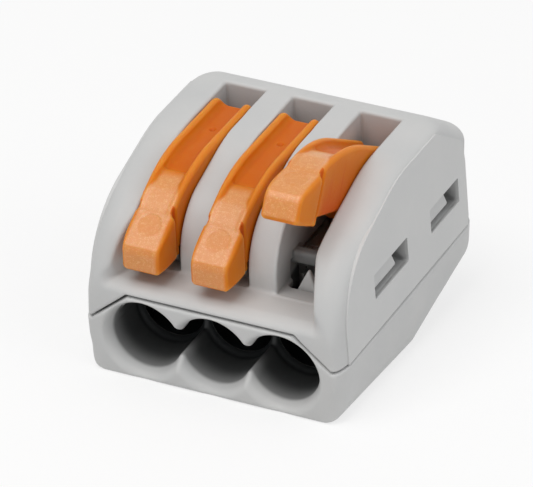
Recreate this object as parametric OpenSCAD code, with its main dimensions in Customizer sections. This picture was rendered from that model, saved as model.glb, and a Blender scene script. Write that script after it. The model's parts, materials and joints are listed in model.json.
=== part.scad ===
// Three-pole lever wire connector. A drafted upper housing snaps over a base with three round wire
// entries. Three levers turn on stub axles and press cage clamp springs that sit on one current bar.
// Millimetres, +Z up. Every piece is drawn square in the housing's own directions: Y runs back from
// the wire entry face and Z up from the lowest line of the base. seated() then turns the whole
// connector onto the front bottom facet on which it rests.

/* [Poles and levers] */
// Distance between neighbouring wire entries
pole_pitch = 4.8; // [4.6:0.1:6]
// Width of the slot that each lever swings in
slot_w = 2.84; // [2.7:0.02:3.1]
// Gap on each side of a lever's arm in its slot
arm_clear = 0.15; // [0.06:0.01:0.3]
// Width of the finger tabs at their front
tab_w = 2.9; // [2.6:0.02:3]
// Angle that the third lever is lifted by at rest
third_open = 31; // [0:1:80]
// Axle height below the top of the housing
axle_drop = 3.1; // [2.9:0.05:3.4]
// Axle distance behind the wire entry face
axle_y = 11.15; // [10.8:0.05:12]
// Radius of the stub axles
axle_r = 0.9; // [0.6:0.05:1.1]
// Length of each stub axle inside the slot wall
axle_bite = 0.5; // [0.3:0.05:0.7]
// Radius of the round hub that each lever turns about
hub_r = 2; // [1.6:0.05:2.1]
// Reach of the cam lobe from the axle
cam_reach = 3.4; // [2.8:0.05:3.6]
// Radius of the cam lobe's tip
lobe_r = 0.8; // [0.5:0.05:1]
// Angle of the closed cam lobe above level
lobe_tilt = 20; // [12:1:30]
// Length of the lever's level back behind the axle
heel_len = 2.9; // [2:0.05:3]
// Radius of the rounded end of that back
heel_r = 0.7; // [0.3:0.05:1]
// Space for a fingertip between the ledge and a closed lever
finger_gap = 1.05; // [0.6:0.05:1.3]
// Setback of the closed finger tabs behind the entry face
tab_y = 0.25; // [0.1:0.05:0.4]
// Height of the finger tab's front face
tab_h = 1.75; // [1.3:0.05:2]
// Length of the finger tab
tab_len = 2.35; // [1.8:0.05:2.4]
// Bevel along the tab's top front edge
tab_bevel = 0.4; // [0.1:0.05:0.5]
// Depth of the tab's cut front corners across its width
tab_corner = 0.2; // [0.1:0.01:0.4]
// Length of those cut corners along the tab
tab_corner_len = 0.75; // [0.3:0.05:1]
// Narrowing of the tab on each side from its corners to its back
tab_taper = 0.05; // [0:0.01:0.15]
// Drop from the lever's level back to the rear edge of the finger pad
pad_drop = 2.1; // [1.7:0.05:2.3]
// Height of the step behind the finger pad
pad_step = 0.45; // [0.2:0.05:0.6]
// Length of that step
pad_step_len = 0.3; // [0.1:0.05:0.5]
// Length of the thick root behind the tab
root_len = 0.7; // [0.4:0.05:0.9]
// Height of that root's rear corner above the tab's underside
root_h = 0.55; // [0.3:0.05:0.7]
// Distance ahead of the axle at which the arm's back levels out
arm_crest = 2.65; // [1.5:0.05:3.5]
// Width of the channel in the lever's back
channel_w = 1.44; // [1:0.02:1.6]
// Depth of that channel
channel_depth = 0.6; // [0.3:0.05:0.7]
// Distance of the channel's front end ahead of the axle
channel_reach = 5.9; // [4:0.05:6]

/* [Housing] */
// Depth from the wire entry face to the rear wall
body_d = 20.5; // [20:0.1:24]
// Height from the lowest line of the base to the flat top
body_h = 14.1; // [14:0.1:16]
// Width of each side wall beside the outer slots
side_wall = 2.88; // [2.7:0.02:3.4]
// Draft of the housing's flat side panels in degrees
side_draft = 2.6; // [1:0.1:3]
// Radius of the rounded edges along the top
shoulder_r = 1.75; // [1:0.05:2]
// Depth of the rounded upright corners across the width
corner_in = 0.65; // [0.4:0.05:1.2]
// Length of those corners along the sides
corner_len = 2; // [1:0.05:2.2]
// Radius of the rounded edges along the bottom
sole_r = 1.3; // [0.6:0.05:1.5]
// Radius of the bottom edge under the wire entries
toe_r = 0.35; // [0.15:0.05:0.4]
// How far the flat side panels are cut into the rounded edges
panel_cut = 0.04; // [0.02:0.01:0.1]
// Radius of the side walls' curved front
front_r = 6.35; // [5:0.05:7]
// Setback of the partitions between the levers behind the entry face
partition_y = 2.9; // [2.8:0.05:3.3]
// Radius of the partitions' curved front
partition_r = 4.2; // [3:0.1:4.6]
// Fall of the sloping top in degrees
top_slope = 18.4; // [14:0.1:22]
// Start of the sloping top behind the entry face
slope_y = 9.75; // [8:0.05:11]
// Length of the level rear edge behind the slots
crest_len = 1; // [0.6:0.05:1.6]
// Fall of the rear top facet in degrees
rear_slope = 34; // [20:1:38]
// Radius of the blend between the level top and that facet
crest_r = 2.2; // [1:0.1:2.8]
// Radius of the blend between that facet and the rear wall
rear_r = 1.3; // [0.5:0.1:1.6]
// Height of the ledge under the finger tabs
ledge_z = 7.7; // [7.5:0.05:8.2]
// How far each side wall's inner face opens out towards the front
cheek_flare = 1.05; // [0.6:0.05:1.3]
// Gap behind the turning heel of a lever in its slot
slot_clear = 0.25; // [0.2:0.05:0.9]
// Front edge of the opening through the ledge behind the entry face
throat_y = 4.1; // [3.6:0.05:4.3]
// Depth of the cross bar in each slot
stop_d = 0.8; // [0.5:0.05:0.9]
// Height of that cross bar
stop_h = 0.95; // [0.5:0.05:1]
// Height of that cross bar's underside above the ledge
stop_rise = 0.85; // [0.6:0.05:0.9]
// Thickness of the rear wall
rear_wall = 1.2; // [0.8:0.05:1.8]

/* [Base] */
// Height of the seam between housing and base at the sides
seam_z = 4.8; // [4.4:0.05:5]
// Visible gap of the seam
seam_gap = 0.08; // [0.04:0.01:0.15]
// Radius of the round wire entries
entry_r = 2.45; // [2.3:0.01:2.6]
// Height of the wire entries' axis
entry_z = 3.95; // [3.9:0.05:4.1]
// Radius of the entries' flared mouth
mouth_r = 2.78; // [2.65:0.01:2.85]
// Depth of that flare
mouth_depth = 0.8; // [0.4:0.05:1.2]
// Length of the round part of each entry, with its flare
entry_len = 4; // [3.4:0.05:4.2]
// Radius of the hole that guides the bare wire into the clamp
guide_r = 2; // [1.4:0.05:2.2]
// Length of the taper down to that hole
guide_len = 0.6; // [0.4:0.05:0.7]
// Thickness of the base above the entries
entry_roof = 0.45; // [0.4:0.05:0.6]
// Half width of the seam's level middle stretch at the front
plate_half_top = 5.8; // [5:0.05:6.4]
// Half width where the seam meets the sides at the front
plate_half_low = 8.35; // [7.9:0.05:8.5]
// Thickness of the front plate
plate_t = 1.8; // [1.2:0.1:2.4]
// Tilt of the resting facet against the housing in degrees
seat_tilt = 4.5; // [3:0.1:6]
// Distance of the lowest line behind the entry face
foot_y = 11.25; // [9:0.05:13]
// Rise of the rear bottom facet in degrees
rear_rise = 14; // [8:0.5:18]
// Radius of the blend between the rear wall and that facet
keel_r = 1.2; // [0.5:0.1:1.5]
// Thickness of the base's floor
floor_t = 1.1; // [0.8:0.05:1.4]
// Thickness of the base's side walls
skirt_t = 1.5; // [1.3:0.05:1.7]

/* [Latches] */
// Height of the window sills
window_z = 7.2; // [7.1:0.05:7.5]
// Height of the windows
window_h = 1.75; // [1.4:0.05:2]
// Front edge of the front windows behind the entry face
window_front_y = 5.5; // [5.3:0.05:6.2]
// Length of the front windows
window_front_len = 4.93; // [4:0.01:5.4]
// Rear edge of the rear windows ahead of the rear wall's outside
window_rear_in = 2.3; // [1.9:0.05:2.6]
// Length of the rear windows
window_rear_len = 4.31; // [3.6:0.01:4.6]
// Wall between the outer clamp chambers and the latch pockets
pocket_wall = 0.3; // [0.2:0.05:0.35]
// Thickness of the latch arms
arm_t = 0.65; // [0.5:0.01:0.7]
// How far the latch arms reach down inside the base
arm_root = 1.5; // [1:0.1:1.8]
// How far the latch noses stand out from the arms
nose_out = 1; // [0.6:0.05:1.1]
// How far the top of a latch nose slopes back towards its arm
nose_back = 0.45; // [0.3:0.05:0.6]
// Gap under a latch nose
nose_gap = 0.22; // [0.1:0.01:0.3]
// Length of a latch nose as a share of its window
nose_share = 0.78; // [0.6:0.01:0.9]

/* [Clamps] */
// Thickness of the spring strip
strip_t = 0.35; // [0.25:0.01:0.4]
// Width of the spring strip
strip_w = 3.2; // [3:0.05:3.3]
// Width of each side rail beside the window in the clamping leg
rail_w = 0.38; // [0.3:0.01:0.5]
// Height of the bar under that window
bar_h = 0.75; // [0.5:0.05:0.9]
// Radius of the clamp's front bend
bend_r = 0.9; // [0.6:0.05:1.1]
// Distance of the clamping leg behind the front of its chamber
leg_in = 1.4; // [1.2:0.05:1.7]
// Thickness of the current bar
busbar_t = 0.8; // [0.6:0.05:1]
// Width of the current bar, front to back
busbar_d = 3.3; // [2.6:0.1:3.6]
// Height of the current bar's underside above the entries' axis
busbar_rise = 1; // [0.8:0.05:1.1]
// Length of the tongue that carries each clamp
tongue_len = 2.8; // [2.6:0.05:3]
// How far each tongue stands out in front of its clamping leg
tongue_tip = 0.4; // [0.2:0.05:0.6]
// Length of the clamp's lower leg behind the current bar
loop_lead = 0.8; // [0.4:0.05:1]
// Gap between clamp, current bar and the walls beside them
clamp_clear = 0.2; // [0.1:0.01:0.3]
// Gap in front of and behind each clamp in its chamber
chamber_clear = 0.4; // [0.2:0.05:0.5]
// Gap between a clamp and the hub above it
hub_gap = 0.1; // [0.05:0.01:0.2]
// Gap between the current bar and the clamp's lower bar
bar_gap = 0.05; // [0.03:0.01:0.1]

/* [Fits] */
// Radial running clearance of the axles
axle_clear = 0.05; // [0.02:0.01:0.1]
// Clearance between fixed pieces that slide together
fit_clear = 0.1; // [0.05:0.01:0.15]

/* [Hidden] */

// Smoothness of round parts, of the outline's arcs, of the rounded edges and of the blended corners
$fn = 64;
ARC_STEPS = 14;
EDGE_STEPS = 6;
BLEND_STEPS = 4;
// Thickness of the slices that the rounded skin is stretched over, the overshoot of a cut, and how
// far fused shapes run into each other
SLICE = 0.01;
OVER = 1;
SINK = 0.25;

// Widths across the poles
poles = [-pole_pitch, 0, pole_pitch];
row_half = pole_pitch + slot_w / 2;
body_half = row_half + side_wall;
arm_w = slot_w - 2 * arm_clear;
chamber_w = strip_w + 2 * clamp_clear;
chamber_half = pole_pitch + chamber_w / 2;
pier = pole_pitch - chamber_w;

// Heights and depths that follow from the driving sizes
axle_z = body_h - axle_drop;
heel_sweep = norm([heel_len, axle_drop]);
slot_rear = axle_y + heel_sweep + slot_clear;
crest_y = slot_rear + crest_len;
rear_top = body_h - (body_d - crest_y) * tan(rear_slope);
rear_low = (body_d - foot_y) * tan(rear_rise);
plate_top = entry_z + entry_r + entry_roof;
block_end = entry_len + guide_len;

// The clamp hangs between the current bar and the hub above it
busbar_z = entry_z + busbar_rise;
strip_low = busbar_z + busbar_t;
strip_high = axle_z - hub_r - hub_gap;
loop_r = (strip_high - strip_low) / 2;
chamber_y = block_end + chamber_clear;
leg_y = chamber_y + leg_in;
bend_y = leg_y + bend_r;
busbar_y = leg_y - tongue_tip + tongue_len;
loop_y = busbar_y + busbar_d + loop_lead;
chamber_rear = loop_y + loop_r + chamber_clear;
chamber_top = strip_high + hub_gap;

// Points along an arc from angle a0 to angle a1, whose radius goes from r0 to r1
function arc(c, r0, r1, a0, a1, steps) =
    [for (i = [0 : steps])
        let (a = a0 + (a1 - a0) * i / steps, r = r0 + (r1 - r0) * i / steps)
        [c[0] + r * cos(a), c[1] + r * sin(a)]];

// Points of an arc of radius r that blends the corner q between the directions to p and s
function blend(p, q, s, r) =
    let (
        u = (p - q) / norm(p - q),
        v = (s - q) / norm(s - q),
        half = acos(u * v) / 2,
        c = q + (u + v) / norm(u + v) * r / sin(half),
        from = q + u * r / tan(half) - c,
        to = q + v * r / tan(half) - c
    )
    arc(c, r, r, atan2(from[1], from[0]), atan2(to[1], to[0]), BLEND_STEPS);

// Curved front of a wall that starts at depth y0 and its slope up to the level top, drawn in by end_in
// at the front and by top_in along the top
function front_curve(y0, r, end_in, top_in) =
    let (
        meet_z = body_h - (slope_y - y0) * tan(top_slope),
        run = r * tan((90 - top_slope) / 2)
    )
    concat(
        arc([y0 + r, meet_z - run], r - end_in, r - top_in, 180, 90 + top_slope, ARC_STEPS),
        [[slope_y, body_h - top_in]]
    );

// The whole upper edge of the housing seen from the side, from the entry face to the rear wall
function crown(end_in, top_in) =
    let (
        slope = [slope_y, body_h - top_in],
        crest = [crest_y, body_h - top_in],
        rear = [body_d - end_in, rear_top - top_in]
    )
    concat(
        front_curve(0, front_r, end_in, top_in),
        blend(slope, crest, rear, crest_r), blend(crest, rear, [rear[0], 0], rear_r)
    );

// Height of the outside of the bottom at depth y
function bottom_at(y) =
    y < foot_y ? (foot_y - y) * tan(seat_tilt) : (y - foot_y) * tan(rear_rise);

// Outline of the whole connector seen from the side, drawn in at its ends, top and bottom
function outline(end_in, top_in, low_in) =
    let (
        toe = [end_in + toe_r, bottom_at(end_in + toe_r) + low_in + toe_r / cos(seat_tilt)],
        keel = [body_d - end_in, bottom_at(body_d - end_in) + low_in],
        foot = [foot_y, low_in]
    )
    concat(
        crown(end_in, top_in),
        blend([keel[0], body_h], keel, foot, keel_r), [foot],
        arc(toe, toe_r, toe_r, 270 - seat_tilt, 180, EDGE_STEPS)
    );

// How far an edge of the given depth and length is drawn in, at a distance below the outside
function drawn_in(depth, length, below) =
    let (share = max(0, 1 - below / depth))
    length * (1 - sqrt(1 - share * share));

// Turns the connector onto its resting facet, with the origin under the middle of its depth
front_reach = foot_y * cos(seat_tilt) + ledge_z * sin(seat_tilt);
rear_reach = (body_d - foot_y) * cos(seat_tilt) - rear_low * sin(seat_tilt);
module seated() {
    translate([0, (front_reach - rear_reach) / 2, 0])
        rotate([seat_tilt, 0, 0])
            translate([0, -foot_y, 0])
                children();
}

// A side view drawn in (depth, height), given a width across the poles
module across(width) {
    rotate([90, 0, 90])
        linear_extrude(width, center = true)
            children();
}

// A front view drawn in (width, height), given a depth from y0 to y1
module along(y0, y1) {
    translate([0, y1, 0])
        rotate([90, 0, 0])
            linear_extrude(y1 - y0)
                children();
}

// A box between two corners
module box(low, high) {
    translate(low)
        cube(high - low);
}

// The outline stretched over the width, with rounded outer edges
module skin(half) {
    hull()
        for (i = [0 : EDGE_STEPS], side = [-1, 1]) {
            below = shoulder_r * (1 - sin(90 * i / EDGE_STEPS));
            translate([side * (half - below - SLICE / 2), 0, 0])
                across(SLICE)
                    polygon(outline(
                        drawn_in(corner_in, corner_len, below),
                        drawn_in(shoulder_r, shoulder_r, below),
                        drawn_in(sole_r, sole_r, below)
                    ));
        }
}

// Drafted flat sides of the housing
module drafted_sides() {
    top_half = body_half - (body_h - seam_z) * tan(side_draft);
    along(-OVER, body_d + OVER)
        polygon([
            [-body_half, seam_z - OVER], [body_half, seam_z - OVER],
            [body_half, seam_z], [top_half, body_h], [top_half, body_h + OVER],
            [-top_half, body_h + OVER], [-top_half, body_h], [-body_half, seam_z]
        ]);
}

// Front plate of the base, grown by gap where the housing has to clear it
module front_plate(gap) {
    along(-OVER, plate_t + gap)
        polygon([
            [-plate_half_low - gap, -OVER], [plate_half_low + gap, -OVER],
            [plate_half_low + gap, seam_z], [plate_half_top + gap / 2, plate_top + gap],
            [-plate_half_top - gap / 2, plate_top + gap], [-plate_half_low - gap, seam_z]
        ]);
}

// Window depths: [front edge, rear edge] of the front and of the rear pair
window_rear_y = body_d - window_rear_in;
windows = [
    [window_front_y, window_front_y + window_front_len],
    [window_rear_y - window_rear_len, window_rear_y]
];
// Latch arms stand in pockets just inside the side walls
arm_in = chamber_half + pocket_wall + fit_clear;
arm_out = arm_in + arm_t;
window_top = window_z + window_h;

// Space in front of the partitions, above the ledge
module lever_recess() {
    across(2 * row_half)
        polygon(concat(
            [[-OVER, ledge_z], [partition_y, ledge_z]],
            front_curve(partition_y, partition_r, 0, 0),
            [[slope_y, body_h + OVER], [-OVER, body_h + OVER]]
        ));
    for (side = [0, 1])
        mirror([side, 0, 0])
            translate([0, 0, ledge_z])
                linear_extrude(body_h)
                    polygon([
                        [row_half - OVER, partition_y], [row_half, partition_y],
                        [row_half + cheek_flare, 0], [row_half + cheek_flare, -OVER],
                        [row_half - OVER, -OVER]
                    ]);
}

// Slot, floor opening, clamp chamber and axle sockets of one pole
module pole_space() {
    box([-slot_w / 2, -OVER, ledge_z], [slot_w / 2, slot_rear, body_h + OVER]);
    box([-chamber_w / 2, chamber_y, 0], [chamber_w / 2, chamber_rear, chamber_top]);
    box([-arm_w / 2, throat_y, plate_top], [arm_w / 2, chamber_y + SLICE, ledge_z + SLICE]);
    translate([0, axle_y, axle_z])
        rotate([0, 90, 0])
            cylinder(h = slot_w + 2 * (axle_bite + fit_clear), r = axle_r + axle_clear, center = true);
}

// Cross bar of one pole, under the lever's arm and in front of the clamp
stop_y = leg_y - clamp_clear - stop_d;
stop_z = ledge_z + stop_rise;
stop_half = chamber_w / 2 + SINK;
module stop_bar() {
    box([-stop_half, stop_y, stop_z], [stop_half, stop_y + stop_d, stop_z + stop_h]);
}

module housing() {
    color("lightgray")
    seated() {
        difference() {
            intersection() {
                skin(body_half + panel_cut);
                drafted_sides();
                box([-body_half - OVER, -OVER, seam_z + seam_gap / 2],
                    [body_half + OVER, body_d + OVER, body_h + OVER]);
            }
            front_plate(seam_gap);
            lever_recess();
            for (x = poles)
                translate([x, 0, 0])
                    pole_space();
            box([-arm_in - fit_clear, plate_t - fit_clear, 0],
                [arm_in + fit_clear, block_end + fit_clear, plate_top + fit_clear]);
            box([-chamber_half, busbar_y - clamp_clear, 0],
                [chamber_half, busbar_y + busbar_d + clamp_clear, strip_low + clamp_clear]);
            box([-chamber_half, crest_y, 0], [chamber_half, body_d - rear_wall, axle_z - axle_r]);
            for (w = windows, side = [0, 1])
                mirror([side, 0, 0]) {
                    box([arm_in - fit_clear, w[0], 0], [arm_out + fit_clear, w[1], window_top]);
                    box([arm_in, w[0], window_z], [body_half + OVER, w[1], window_top]);
                }
        }
        for (x = poles)
            translate([x, 0, 0])
                stop_bar();
    }
}

// One latch arm with its bevelled nose, for the window w
module latch(w) {
    nose_z = window_z + nose_gap;
    nose_top = window_top - nose_gap;
    along(w[0] + fit_clear, w[0] + (w[1] - w[0]) * nose_share)
        polygon([
            [arm_in, seam_z - arm_root], [arm_out, seam_z - arm_root],
            [arm_out, nose_z], [arm_out + nose_out, nose_z],
            [arm_out + nose_out, nose_z + nose_gap], [arm_out + nose_out - nose_back, nose_top],
            [arm_in, nose_top]
        ]);
}

// Round entry of one pole: flared mouth, bore and taper to the guide hole
module wire_entry() {
    translate([0, 0, entry_z])
        rotate([-90, 0, 0]) {
            translate([0, 0, -OVER])
                cylinder(h = OVER + SLICE, r = mouth_r);
            cylinder(h = mouth_depth, r1 = mouth_r, r2 = entry_r);
            cylinder(h = entry_len, r = entry_r);
            translate([0, 0, entry_len])
                cylinder(h = guide_len, r1 = entry_r, r2 = guide_r);
            cylinder(h = block_end + OVER, r = guide_r);
        }
}

module base() {
    tray_half = body_half - skirt_t;
    rib_w = pier - 2 * fit_clear;
    color("lightgray")
    seated()
        difference() {
            union() {
                difference() {
                    intersection() {
                        skin(body_half);
                        union() {
                            box([-body_half - OVER, -OVER, -OVER],
                                [body_half + OVER, body_d + OVER, seam_z - seam_gap / 2]);
                            front_plate(0);
                        }
                    }
                    across(2 * tray_half)
                        polygon([
                            [block_end, body_h], [block_end, bottom_at(block_end) + floor_t],
                            [foot_y, floor_t],
                            [body_d - rear_wall, bottom_at(body_d - rear_wall) + floor_t],
                            [body_d - rear_wall, body_h]
                        ]);
                }
                box([-arm_in, plate_t - SLICE, seam_z - OVER], [arm_in, block_end, plate_top]);
                for (w = windows, side = [0, 1])
                    mirror([side, 0, 0])
                        latch(w);
                for (side = [-1, 1])
                    translate([side * pole_pitch / 2, 0, 0])
                        box([-rib_w / 2, busbar_y, floor_t - SINK],
                            [rib_w / 2, busbar_y + busbar_d, busbar_z]);
            }
            for (x = poles)
                translate([x, 0, 0])
                    wire_entry();
        }
}

module busbar() {
    tongue_half = strip_w / 2 - rail_w - clamp_clear;
    color("goldenrod")
    seated()
        translate([0, 0, busbar_z])
            linear_extrude(busbar_t)
                union() {
                    translate([-chamber_half + clamp_clear, busbar_y])
                        square([2 * (chamber_half - clamp_clear), busbar_d]);
                    for (x = poles)
                        translate([x - tongue_half, busbar_y - tongue_len])
                            square([2 * tongue_half, tongue_len + SLICE]);
                }
}

// Half of a flat ring, opened towards +Y or closed to a quarter by the limits
module ring_part(c, r_out, low, high) {
    intersection() {
        difference() {
            translate(c)
                circle(r_out);
            translate(c)
                circle(r_out - strip_t);
        }
        translate(low)
            square(high - low);
    }
}

// Cage clamp of one pole: leg on the current bar, rear loop, top arm, bend and windowed leg
module clamp_spring(x) {
    loop_c = [loop_y, strip_low + loop_r];
    bend_c = [bend_y, strip_high - bend_r];
    window_low = busbar_z - bar_gap;
    color("silver")
    seated()
        translate([x, 0, 0])
            difference() {
                across(strip_w)
                    union() {
                        translate([bend_y, strip_low])
                            square([loop_y - bend_y, strip_t]);
                        ring_part(loop_c, loop_r, loop_c + [0, -2 * loop_r], loop_c + [2, 2] * loop_r);
                        translate([bend_y, strip_high - strip_t])
                            square([loop_y - bend_y, strip_t]);
                        ring_part(bend_c, bend_r, bend_c + [-2, 0] * bend_r, bend_c + [0, 2] * bend_r);
                        translate([leg_y, window_low - bar_h])
                            square([strip_t, strip_high - bend_r - window_low + bar_h]);
                    }
                box([rail_w - strip_w / 2, leg_y - OVER, window_low],
                    [strip_w / 2 - rail_w, leg_y + strip_t + SINK, strip_high - bend_r]);
            }
}

// Side view of a closed lever: root behind the tab, arm, heel, hub and cam lobe
tab_z = ledge_z + finger_gap;
tab_back = tab_y + tab_len;
pad_z = body_h - pad_drop;
crest_in = [axle_y - arm_crest, body_h];
heel_y = axle_y + heel_len;
module lever_side() {
    lobe = [axle_y, axle_z] + (cam_reach - lobe_r) * [cos(lobe_tilt), sin(lobe_tilt)];
    step = [tab_back + pad_step_len, pad_z + pad_step];
    // The arm's back is an arc from the step to the level stretch
    rise = body_h - step[1];
    run = crest_in[0] - step[0];
    back_r = (run * run + rise * rise) / (2 * rise);
    back_a = asin(run / back_r);
    polygon(concat(
        [
            [tab_back - SINK, pad_z], [tab_back, pad_z]
        ],
        arc(crest_in - [0, back_r], back_r, back_r, 90 + back_a, 90, ARC_STEPS),
        arc([heel_y - heel_r, body_h - heel_r], heel_r, heel_r, 90, 0, EDGE_STEPS),
        [
            lobe + [lobe_r, 0], lobe - [0, lobe_r], [axle_y, axle_z],
            [axle_y - hub_r * cos(lobe_tilt), axle_z - hub_r * sin(lobe_tilt)],
            [tab_back + root_len, tab_z + root_h], [tab_back + root_len, tab_z],
            [tab_back - SINK, tab_z]
        ]
    ));
    translate([axle_y, axle_z])
        circle(hub_r);
    translate(lobe)
        circle(lobe_r);
}

// Side view of the finger tab
module tab_side() {
    polygon([
        [tab_y, tab_z], [tab_back, tab_z], [tab_back, pad_z],
        [tab_y + tab_bevel, tab_z + tab_h + tab_bevel], [tab_y, tab_z + tab_h]
    ]);
}

// Finger tab seen from above: cut front corners, then sides that stand out a little from the arm
module tab_plan() {
    half = tab_w / 2;
    polygon([
        [tab_corner - half, tab_y], [half - tab_corner, tab_y],
        [half, tab_y + tab_corner_len], [half - tab_taper, tab_back],
        [tab_taper - half, tab_back], [-half, tab_y + tab_corner_len]
    ]);
}

// One lever, drawn closed and then turned open about its axle
module lever(x, open) {
    channel_y = axle_y - channel_reach;
    color("darkorange")
    seated()
        translate([x, axle_y, axle_z])
            rotate([-open, 0, 0])
                translate([0, -axle_y, -axle_z]) {
                    difference() {
                        across(arm_w)
                            lever_side();
                        box([-channel_w / 2, channel_y, body_h - channel_depth],
                            [channel_w / 2, body_d, body_h + OVER]);
                    }
                    intersection() {
                        across(tab_w)
                            tab_side();
                        linear_extrude(body_h)
                            tab_plan();
                    }
                    translate([0, axle_y, axle_z])
                        rotate([0, 90, 0])
                            cylinder(h = slot_w + 2 * axle_bite, r = axle_r, center = true);
                }
}

housing();
base();
busbar();
clamp_spring(poles[0]);  // clamp_spring_1
clamp_spring(poles[1]);  // clamp_spring_2
clamp_spring(poles[2]);  // clamp_spring_3
lever(poles[0], 0);  // lever_1
lever(poles[1], 0);  // lever_2
lever(poles[2], third_open);  // lever_3
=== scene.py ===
# %% [markdown]
# # A lever wire connector, dressed around its CAD frame
#
# The connector is a small block of grey plastic with three orange levers. Each lever opens a spring
# clamp inside, so a wire can be pushed into the round entry below it. The imported CAD model already
# says where everything is and how it moves. This lesson makes the surfaces that the eye meets: soft
# moulded edges, a thin seam, latch windows, grained finger pads. The first step loads the frame.

# %% Load the frame
import functools
import json
import math

import bmesh
import bpy
import numpy as np
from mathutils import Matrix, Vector


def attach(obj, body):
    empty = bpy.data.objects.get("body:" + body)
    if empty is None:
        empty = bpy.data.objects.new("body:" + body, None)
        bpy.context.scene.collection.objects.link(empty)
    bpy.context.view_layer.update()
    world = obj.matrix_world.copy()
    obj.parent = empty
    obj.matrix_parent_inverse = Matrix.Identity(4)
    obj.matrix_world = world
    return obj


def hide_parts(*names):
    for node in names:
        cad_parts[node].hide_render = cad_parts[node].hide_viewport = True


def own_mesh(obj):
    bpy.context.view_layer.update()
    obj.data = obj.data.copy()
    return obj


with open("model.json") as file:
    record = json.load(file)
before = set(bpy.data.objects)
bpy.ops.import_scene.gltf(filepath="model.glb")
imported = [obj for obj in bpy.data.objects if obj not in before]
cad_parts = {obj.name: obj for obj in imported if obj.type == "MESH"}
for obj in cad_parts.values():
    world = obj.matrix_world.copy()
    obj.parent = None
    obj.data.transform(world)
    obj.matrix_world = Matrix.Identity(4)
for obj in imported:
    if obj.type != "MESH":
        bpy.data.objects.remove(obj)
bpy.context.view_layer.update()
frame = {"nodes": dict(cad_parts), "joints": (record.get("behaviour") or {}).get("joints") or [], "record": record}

MM = 0.001
scene = bpy.context.scene
print("nodes:", sorted(frame["nodes"]))

# %% [markdown]
# ## Two frames, one object
#
# The connector stands on a facet under its front half, so its body leans back by a few degrees. Shapes
# are easier to write in the body's own frame: x across the poles, y the depth behind the wire entries,
# z the height above the lowest bottom edge, all in millimetres. The lean comes from the axis of a wire
# entry in the record, and the hinges tie the two frames together, so nothing is fitted by eye.

# %% The body's own frame
record = frame["record"]
mounts = {mount["name"]: mount for mount in record["mounts"]}
hinges = [joint for joint in frame["joints"] if joint["type"] == "hinge"]
lean = math.asin(-mounts["wire_entry_2"]["axis"][2])
POLE_X = [hinge["pos_m"][0] / MM for hinge in hinges]
PITCH = POLE_X[1] - POLE_X[0]
ENTRY_R = mounts["wire_entry_2"]["dims"]["r_mm"]
HINGE_ROW = np.array(hinges[0]["pos_m"][1:]) / MM
AXLE_Y, AXLE_Z = 11.15, 11.0


def to_row(points):
    """Body frame in mm to row frame in m: turn (y, z) by the lean about the lever axle, then scale."""
    y, z = points[:, 1] - AXLE_Y, points[:, 2] - AXLE_Z
    row_y = y * math.cos(lean) - z * math.sin(lean) + HINGE_ROW[0]
    row_z = y * math.sin(lean) + z * math.cos(lean) + HINGE_ROW[1]
    return np.column_stack((points[:, 0], row_y, row_z)) * MM


print(f"lean {math.degrees(lean):.2f} degrees, pole pitch {PITCH:.2f} mm")

# %% [markdown]
# ## Camera
#
# The photograph was taken with a long lens from the right and above. A long lens keeps parallel edges
# nearly parallel, so the camera stands far back. Its place is written as a direction and a distance, and
# a second point says where it looks, which also sets where the object sits in the picture.

# %% Camera
CAMERA_AZIMUTH, CAMERA_ELEVATION = math.radians(25.984), math.radians(28.908)
CAMERA_DISTANCE = 325.095 * MM
CAMERA_LENS = 340.5
CENTRE = Vector((0, 0, 0.8)) * MM
AIM = Vector((-1.863, 1.674, 5.0)) * MM
back = Vector((
    math.sin(CAMERA_AZIMUTH) * math.cos(CAMERA_ELEVATION),
    -math.cos(CAMERA_AZIMUTH) * math.cos(CAMERA_ELEVATION),
    math.sin(CAMERA_ELEVATION),
))
camera_data = bpy.data.cameras.new("camera")
camera_data.lens = CAMERA_LENS
camera_data.clip_start = 0.01
camera = bpy.data.objects.new("camera", camera_data)
camera.location = CENTRE + back * CAMERA_DISTANCE
camera.rotation_euler = (AIM - camera.location).to_track_quat("-Z", "Y").to_euler()
scene.collection.objects.link(camera)
scene.camera = camera
print("camera at", [round(v / MM, 1) for v in camera.location], "mm")

# %% [markdown]
# ## Floor and light
#
# The object is shown on plain white, as in a catalogue. More light would bleach the grey plastic, so the
# white comes from the floor and the world themselves: what the camera, a mirror or a lens sees of them is
# mostly a glow of strength 1, and a share of ordinary matt white keeps the object's shadow. For the light
# that bounces off it the floor is only grey, so the wire entries stay as dark inside as they are in the
# picture. One large lamp stands high in front, a weaker one on the right, and the world is an even dim sky.

# %% Floor, world and lamps
SHADOW_SHARE = 0.3
FLOOR_HALF = 1.5
FLOOR_WHITE, FLOOR_BOUNCE = 0.92, 0.8


def math_node(tree, operation, first, second):
    """Math node whose two operands are sockets or plain numbers; gives its output socket."""
    node = tree.nodes.new("ShaderNodeMath")
    node.operation = operation
    for socket, value in zip(node.inputs, (first, second)):
        if isinstance(value, (int, float)):
            socket.default_value = value
        else:
            tree.links.new(value, socket)
    return node.outputs[0]


def by_mask(tree, mask, low, high):
    """Map Range node that goes from low to high with the mask."""
    node = tree.nodes.new("ShaderNodeMapRange")
    node.inputs["To Min"].default_value = low
    node.inputs["To Max"].default_value = high
    tree.links.new(mask, node.inputs["Value"])
    return node.outputs["Result"]


def seen_directly(tree):
    """Mask that is 1 for rays from the camera, from a glossy surface or through a clear one."""
    rays = tree.nodes.new("ShaderNodeLightPath").outputs
    mirrored = math_node(tree, "MAXIMUM", rays["Is Camera Ray"], rays["Is Glossy Ray"])
    return math_node(tree, "MAXIMUM", mirrored, rays["Is Transmission Ray"])


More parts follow.
